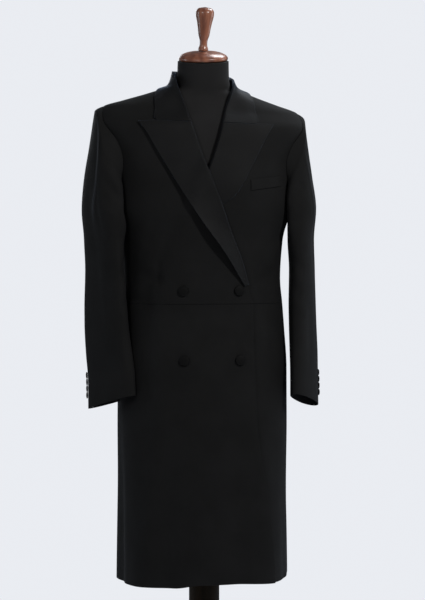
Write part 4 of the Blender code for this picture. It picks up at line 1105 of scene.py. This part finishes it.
WOOL = cloth_material("wool_twill", ((0.0090, 0.0090, 0.0091), (0.0108, 0.0108, 0.0110)),
                      0.74, 0.0011, 0.20, Specular_IOR_Level=0.06, Sheen_Weight=0.02,
                      Sheen_Roughness=0.35, Sheen_Tint=(0.75, 0.84, 1.0, 1.0))
LAPEL_CLOTH = cloth_material("lapel_twill", ((0.0058, 0.0058, 0.0061), (0.0076, 0.0077, 0.0081)),
                             0.56, 0.0009, 0.16, Specular_IOR_Level=0.09, Sheen_Weight=0.30,
                             Sheen_Roughness=0.30, Sheen_Tint=(0.55, 0.70, 1.0, 1.0))
COVERED = cloth_material("button_cloth", ((0.0040, 0.0040, 0.0041), (0.0056, 0.0056, 0.0057)),
                         0.62, 0.0007, 0.10, Specular_IOR_Level=0.07)
JERSEY = cloth_material("form_jersey", ((0.0105, 0.0102, 0.0106), (0.0130, 0.0127, 0.0132)),
                        0.80, 0.0013, 0.15, Specular_IOR_Level=0.14, Sheen_Weight=0.05,
                        Sheen_Roughness=0.4)
MAHOGANY = wood_material("mahogany_finish", ((0.110, 0.032, 0.018), (0.300, 0.115, 0.064)),
                         0.34, Coat_Weight=0.30, Coat_Roughness=0.12)
DARK_WOOD = wood_material("dark_wood_finish", ((0.007, 0.0043, 0.0016), (0.015, 0.0090, 0.0036)),
                          0.55, Specular_IOR_Level=0.10)


# Pieces
CREASE_ANGLE = math.radians(42)


def finish_mesh(name, bm, material):
    mesh = bpy.data.meshes.new(name)
    bm.to_mesh(mesh)
    bm.free()
    mesh.shade_smooth()
    mesh.set_sharp_from_angle(angle=CREASE_ANGLE)
    mesh.materials.append(material)
    item = bpy.data.objects.new(name, mesh)
    bpy.context.scene.collection.objects.link(item)
    return item


EDGE_ROUND = 0.0004
EDGE_DEPTHS = (0.30, 0.70)


def edge_way(grid):
    """Along a grid's border, the way out of the cloth in its own surface."""
    away = np.zeros_like(grid)
    away[0] += unit(grid[0] - grid[1])
    away[-1] += unit(grid[-1] - grid[-2])
    away[:, 0] += unit(grid[:, 0] - grid[:, 1])
    away[:, -1] += unit(grid[:, -1] - grid[:, -2])
    return away


def lengths_along(grid, axis):
    """The distance from each point of a grid to the next, along rows (1) or columns (0)."""
    return np.linalg.norm(np.diff(grid, axis=axis), axis=2)


def shell_mesh(name, outer, inner, material, flipped, painted_highlight=None):
    """A thin shell with rounded edges, the weave's UVs in metres, and a mask for a painted
    highlight where one is given.
    """
    bm = bmesh.new()
    layer = bm.loops.layers.uv.new("weave")
    rows, columns = outer.shape[:2]
    across = np.zeros((rows, columns))
    across[:, 1:] = np.cumsum(lengths_along(outer, 1), axis=1)
    across -= across[:, columns // 2][:, None]
    up = np.zeros((rows, columns))
    up[1:] = np.cumsum(lengths_along(outer, 0), axis=0)
    around = [(0, column) for column in range(columns)]
    around += [(row, columns - 1) for row in range(1, rows)]
    around += [(rows - 1, column) for column in range(columns - 2, -1, -1)]
    around += [(row, 0) for row in range(rows - 2, 0, -1)]
    where = {}

    def vertex(point, spot):
        vert = bm.verts.new(point)
        where[vert] = spot
        return vert

    sheets = []
    for grid in (outer, inner):
        kept = grid - edge_way(grid) * EDGE_ROUND
        sheets.append([[vertex(kept[row, column], (row, column)) for column in range(columns)]
                       for row in range(rows)])
    rings = [[sheets[0][row][column] for row, column in around]]
    for depth in EDGE_DEPTHS:
        rings.append([vertex(outer[spot] * (1 - depth) + inner[spot] * depth, spot)
                      for spot in around])
    rings.append([sheets[1][row][column] for row, column in around])
    faces = []
    for sheet, turned in zip(sheets, (flipped, not flipped)):
        for row in range(rows - 1):
            for column in range(columns - 1):
                corners = [sheet[row][column], sheet[row][column + 1],
                           sheet[row + 1][column + 1], sheet[row + 1][column]]
                faces.append(corners[::-1] if turned else corners)
    for upper, lower in zip(rings, rings[1:]):
        for index in range(len(around)):
            after = (index + 1) % len(around)
            corners = [upper[index], lower[index], lower[after], upper[after]]
            faces.append(corners[::-1] if flipped else corners)
    for corners in faces:
        face = bm.faces.new(corners)
        for loop in face.loops:
            row, column = where[loop.vert]
            loop[layer].uv = (across[row, column], up[row, column])
    item = finish_mesh(name, bm, material)
    # The mask of the painted highlight, kept as a point attribute
    if painted_highlight is not None:
        painted_highlight_mask = item.data.attributes.new("painted_highlight", "FLOAT", "POINT")
        painted_highlight_mask.data.foreach_set("value", [painted_highlight[spot] for spot in where.values()])
    return item


def flat_cut(outer):
    """The cut of a panel in metres: its greatest width and length, and its area."""
    widths = lengths_along(outer, 1).sum(axis=1)
    lengths = lengths_along(outer, 0).sum(axis=0)
    crossed = np.cross(outer[1:, 1:] - outer[:-1, :-1], outer[1:, :-1] - outer[:-1, 1:])
    return widths.max(), lengths.max(), np.linalg.norm(crossed, axis=2).sum() / 2


def cloth_piece(node, walls, material, flipped=False, painted_highlight=None):
    """A cloth shell in place of a CAD node; the cut it was made from is worked out but not kept.
    """
    outer, inner = walls
    item = shell_mesh("cloth_" + node, outer, inner, material, flipped, painted_highlight)
    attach(item, "root")
    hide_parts(node)
    width, length, area = flat_cut(outer)
    width, length = max(width, area / length), max(length, area / width)


def hard_piece(item, node):
    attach(item, "root")
    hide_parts(node)


def turned_piece(name, profile, sides, material, spot, direction):
    """A turned piece from a profile of (radius, height) that starts and ends on the axis."""
    bm = bmesh.new()
    verts = [bm.verts.new((radius, 0.0, height)) for radius, height in profile]
    edges = [bm.edges.new(pair) for pair in zip(verts, verts[1:])]
    bmesh.ops.spin(bm, geom=verts + edges, cent=(0, 0, 0), axis=(0, 0, 1),
                   angle=math.tau, steps=sides, use_merge=True)
    bmesh.ops.remove_doubles(bm, verts=bm.verts, dist=MERGE_DISTANCE)
    bmesh.ops.recalc_face_normals(bm, faces=bm.faces)
    item = finish_mesh(name, bm, material)
    turn = Vector((0, 0, 1)).rotation_difference(Vector(direction)).to_matrix().to_4x4()
    item.matrix_world = Matrix.Translation(Vector(spot)) @ turn
    return item


def rounded(profile, times=2):
    """A profile with its corners cut, again and again, into a smooth curve."""
    points = np.array(profile)
    for _ in range(times):
        near = points[:-1] * (1 - CORNER_CUT) + points[1:] * CORNER_CUT
        far = points[:-1] * CORNER_CUT + points[1:] * (1 - CORNER_CUT)
        middle = np.stack([near, far], axis=1).reshape(-1, 2)
        points = np.concatenate([points[:1], middle[1:-1], points[-1:]])
    return points.tolist()


def front_panel(side, places):
    """Walls of a panel that clears what it laps over."""
    return panel_points(places, front_lift(side, places[..., 0], places[..., 1]))


def wool_piece(node, walls, flipped, painted_highlight=None):
    cloth_piece(node, walls, WOOL, flipped, painted_highlight)


def coat_cloth():
    top = np.arange(FRONT_SLEEVE_SEAM, BACK_SLEEVE_SEAM + 1, SLEEVE_STEP)
    under = np.arange(BACK_SLEEVE_SEAM, FRONT_SLEEVE_SEAM + 360 + 1, SLEEVE_STEP)
    for side, word in SIDES.items():
        flipped = side == RIGHT
        wool_piece("forepart_" + word, front_panel(side, forepart_places(side)), flipped)
        wool_piece("side_body_" + word, panel_points(side_body_places(side)), flipped)
        wool_piece("back_" + word, panel_points(back_places(side)), not flipped)
        wool_piece("skirt_" + word, front_panel(side, skirt_places(side)), flipped)
        cloth_piece("lapel_" + word, lapel_points(side), LAPEL_CLOTH,
                    not flipped)
        for name, angles in (("top_sleeve_", top), ("under_sleeve_", under)):
            walls = sleeve_points(side, angles, SEAM_GAP / 2)
            # A highlight painted along the crease, as a lighter colour
            painted_highlight_mask = PAINTED_HIGHLIGHT_STRENGTH[side] * pressed_crease(side, angles, walls[0][..., 2], PAINTED_HIGHLIGHT_WIDTH)
            wool_piece(name + word, walls, flipped, painted_highlight_mask)
    cloth_piece("collar", collar_points(), LAPEL_CLOTH)
    cloth_piece("breast_welt", panel_points(welt_places(), WELT_LIFT), WOOL)


def button_profile(radius, height):
    return rounded([(radius * out, height * up) for out, up in BUTTON_SHARES], 1)


def front_buttons():
    profile = button_profile(BUTTON_RADIUS, BUTTON_HEIGHT)
    spots = [(reach, height) for height in BUTTON_ROWS for reach in BUTTON_COLUMNS]
    for number, (reach, height) in enumerate(spots, 1):
        bearing = bearing_at_reach(reach, height)
        normal = torso_normal(bearing, np.array(height))
        lift = front_lift(RIGHT, bearing, height) + SEAM_GAP
        item = turned_piece(f"covered_button_{number}", profile, BUTTON_SIDES, COVERED,
                            torso(bearing, height) + normal * lift, normal)
        hard_piece(item, f"front_button_{number}")


def cuff_buttons():
    profile = button_profile(CUFF_BUTTON_RADIUS, CUFF_BUTTON_HEIGHT)
    for side, word in SIDES.items():
        angles = CUFF_BUTTON_ANGLE[side] + CUFF_ANGLE_STEP * np.array([-1, 0, 1])
        outer = sleeve_points(side, angles, 0.0)[0]
        line = outer[:, 1]
        travelled = arc_fractions(line[::-1])
        for number in range(CUFF_BUTTON_COUNT):
            at = LOWEST_CUFF_BUTTON + number * CUFF_BUTTON_PITCH
            spot = np.array([np.interp(at, travelled, line[::-1, axis]) for axis in range(3)])
            row = len(line) - 1 - int(np.searchsorted(travelled, at))
            normal = unit(np.cross(outer[row, 2] - outer[row, 0], line[row] - line[row + 1]))
            if normal[0] * side < 0:
                normal = -normal
            item = turned_piece(f"covered_cuff_button_{word}_{number + 1}", profile,
                                CUFF_BUTTON_SIDES, COVERED, spot + normal * SEAM_GAP, normal)
            hard_piece(item, f"cuff_button_{word}_{number + 1}")


# Dress form and stand
def cap_seat():
    """The foot of the cap above the neck, and the way the cap leans."""
    foot = Vector((FORM_CENTRE_X, FORM[-1].centre_y, FORM[-1].height + CAP_CLEARANCE))
    sway = math.tan(math.radians(CAP_SWAY))
    return foot, Vector((sway, -math.tan(math.radians(NECK_TILT)), 1.0))


def dress_form():
    """A smooth padded torso with a neck and no limbs."""
    foot, way = cap_seat()
    top = FORM[-1].height
    fields = [column_curve(FORM, name) for name in FormRing._fields[1:]]
    angles = np.linspace(0, math.tau, FORM_SIDES, endpoint=False)
    across = np.sin(angles)
    along = np.cos(angles)
    bm = bmesh.new()
    rings = []
    for level in np.linspace(FORM[0].height, top, FORM_ROWS):
        half_width, front, back, centre_y = [float(field(level)) for field in fields]
        radius = ring_radius(across, along, half_width, front, back, FORM_SQUARENESS)
        share = leaning(level) * smooth_step((NECK_POINT - level) / NECK_RISE)
        centre_x = FORM_CENTRE_X + (CENTRE_X(level) - FORM_CENTRE_X) * share
        x = centre_x + radius * across
        y = centre_y - radius * along
        under_cap = foot.z - 2 * SEAM_GAP - way.x * (x - foot.x) - way.y * (y - foot.y)
        z = level + SHOULDER_LEAN * x * share
        z = z + (under_cap - top) * smooth_step((level - LEANS_FROM) / (top - LEANS_FROM))
        rings.append([bm.verts.new(place) for place in zip(x, y, z)])
    for lower, upper in zip(rings, rings[1:]):
        for index in range(FORM_SIDES):
            after = (index + 1) % FORM_SIDES
            bm.faces.new((lower[index], lower[after], upper[after], upper[index]))
    bm.faces.new(rings[0][::-1])
    bm.faces.new(rings[-1])
    hard_piece(finish_mesh("jersey_form", bm, JERSEY), "form_torso")


def wooden_parts():
    column_foot = BASE_PROFILE[-1][1] + SEAM_GAP
    tall = FORM[0].height - SEAM_GAP - column_foot
    column = [(0.0, 0.0), (COLUMN_RADIUS, 0.0), (COLUMN_RADIUS, tall), (0.0, tall)]
    cap_foot, way = cap_seat()
    finial_foot = cap_foot + way.normalized() * (CAP_PROFILE[-1][1] + CAP_GAP)
    finial_way = (math.tan(math.radians(FINIAL_SWAY)), way.y, 1.0)
    upright = (0, 0, 1)
    parts = (
        ("base", "base", rounded(BASE_PROFILE), DARK_WOOD, "dark_wood", (0, 0, 0), upright),
        ("column", "column", column, DARK_WOOD, "dark_wood", (0, 0, column_foot), upright),
        ("cap", "neck_cap", rounded(CAP_PROFILE), MAHOGANY, "mahogany", cap_foot, way),
        ("finial", "finial", rounded(FINIAL_PROFILE), MAHOGANY, "mahogany", finial_foot,
         finial_way),
    )
    for name, node, profile, material, slot, foot, direction in parts:
        item = turned_piece("turned_" + name, profile, TURNED_SIDES, material, foot, direction)
        hard_piece(item, node)


# Studio
BACKDROP = (0.822, 0.842, 0.885)
BACKDROP_LIGHT = 0.14
FLOOR_RADIUS = 2.1
FLOOR_COLOURS = ((0.78, 0.80, 0.85), (0.80, 0.82, 0.87))
FLOOR_ROUGHNESS = 0.9
FLOOR_SHINE = 0.1
FLOOR_SCALE = 2.0
CAMERA_AZIMUTH = -8.3
CAMERA_PITCH = 2.32
CAMERA_DISTANCE = 5.6
CAMERA_HEIGHT = 1.28
# The picture's size in pixels, the camera's focal length in them and the column's place
PICTURE = (425, 600)
FOCAL_PIXELS = 2506.0
COLUMN_PIXEL = 204.1
SENSOR = 36.0
# Name, place, what it points at, width and height, watts, colour
LIGHTS = [
    ("key", (1.20, -1.80, 2.5), (0, 0, 1.45), (0.22, 0.22), 34, (1.0, 0.99, 0.97)),
    ("fill", (-1.5, -2.1, 2.2), (0, 0, 1.35), (0.6, 0.8), 11, (1.0, 1.0, 1.0)),
    ("rim_right", (-2.6, 0.5, 1.5), (0, 0, 1.1), (0.4, 2.2), 15, (0.86, 0.93, 1.0)),
    ("rim_left", (2.6, 0.4, 1.6), (0, 0, 1.1), (0.5, 2.2), 17, (0.86, 0.93, 1.0)),
    ("back", (-0.6, 3.0, 2.0), (0, 0, 1.1), (0.9, 1.4), 14, (0.92, 0.96, 1.0)),
    ("top", (0.9, 0.7, 3.0), (0, 0, 1.4), (0.8, 0.8), 32, (0.90, 0.95, 1.0)),
]


def studio():
    world = bpy.data.worlds.new("studio")
    world.use_nodes = True
    tree = world.node_tree
    background = tree.nodes["Background"]
    background.inputs["Color"].default_value = (*BACKDROP, 1.0)
    # The backdrop shows at full strength but lights the coat less, as one that stands far behind
    path = add_node(tree, "ShaderNodeLightPath")
    level = add_node(tree, "ShaderNodeMapRange",
                     {"Value": path.outputs["Is Camera Ray"], "To Min": BACKDROP_LIGHT})
    tree.links.new(level.outputs["Result"], background.inputs["Strength"])
    bpy.context.scene.world = world
    bm = bmesh.new()
    bmesh.ops.create_circle(bm, cap_ends=True, segments=TURNED_SIDES, radius=FLOOR_RADIUS)
    material, tree, shader = new_material("pale_floor", FLOOR_ROUGHNESS,
                                          Specular_IOR_Level=FLOOR_SHINE)
    place = add_node(tree, "ShaderNodeTexCoord")
    colour = drifting_colour(tree, noise(tree, place.outputs["Object"], FLOOR_SCALE),
                             FLOOR_COLOURS)
    tree.links.new(colour, shader.inputs["Base Color"])
    finish_mesh("floor", bm, material)
    for name, spot, target, size, power, colour in LIGHTS:
        data = bpy.data.lights.new(name, "AREA")
        data.shape = "RECTANGLE"
        data.size, data.size_y = size
        data.energy = power
        data.color = colour
        item = bpy.data.objects.new(name, data)
        item.location = spot
        way = Vector(target) - Vector(spot)
        item.rotation_euler = way.to_track_quat("-Z", "Y").to_euler()
        item.visible_camera = False
        bpy.context.scene.collection.objects.link(item)
    bpy.context.scene.view_settings.view_transform = "Standard"


def camera():
    turn = math.radians(CAMERA_AZIMUTH)
    pitch = math.radians(CAMERA_PITCH)
    right = Vector((math.cos(turn), math.sin(turn), 0.0))
    level = Vector((-math.sin(turn), math.cos(turn), 0.0))
    forward = level * math.cos(pitch) - Vector((0.0, 0.0, math.sin(pitch)))
    across = (COLUMN_PIXEL - PICTURE[0] / 2) / FOCAL_PIXELS * CAMERA_DISTANCE
    data = bpy.data.cameras.new("photo_camera")
    data.sensor_width = SENSOR
    data.lens = FOCAL_PIXELS / PICTURE[1] * SENSOR
    item = bpy.data.objects.new("photo_camera", data)
    axes = Matrix((right, right.cross(forward), -forward)).transposed().to_4x4()
    place = -level * CAMERA_DISTANCE - right * across
    place.z = CAMERA_HEIGHT
    axes.translation = place
    item.matrix_world = axes
    bpy.context.scene.collection.objects.link(item)
    bpy.context.scene.camera = item


dress_form()
wooden_parts()
coat_cloth()
front_buttons()
cuff_buttons()
studio()
camera()
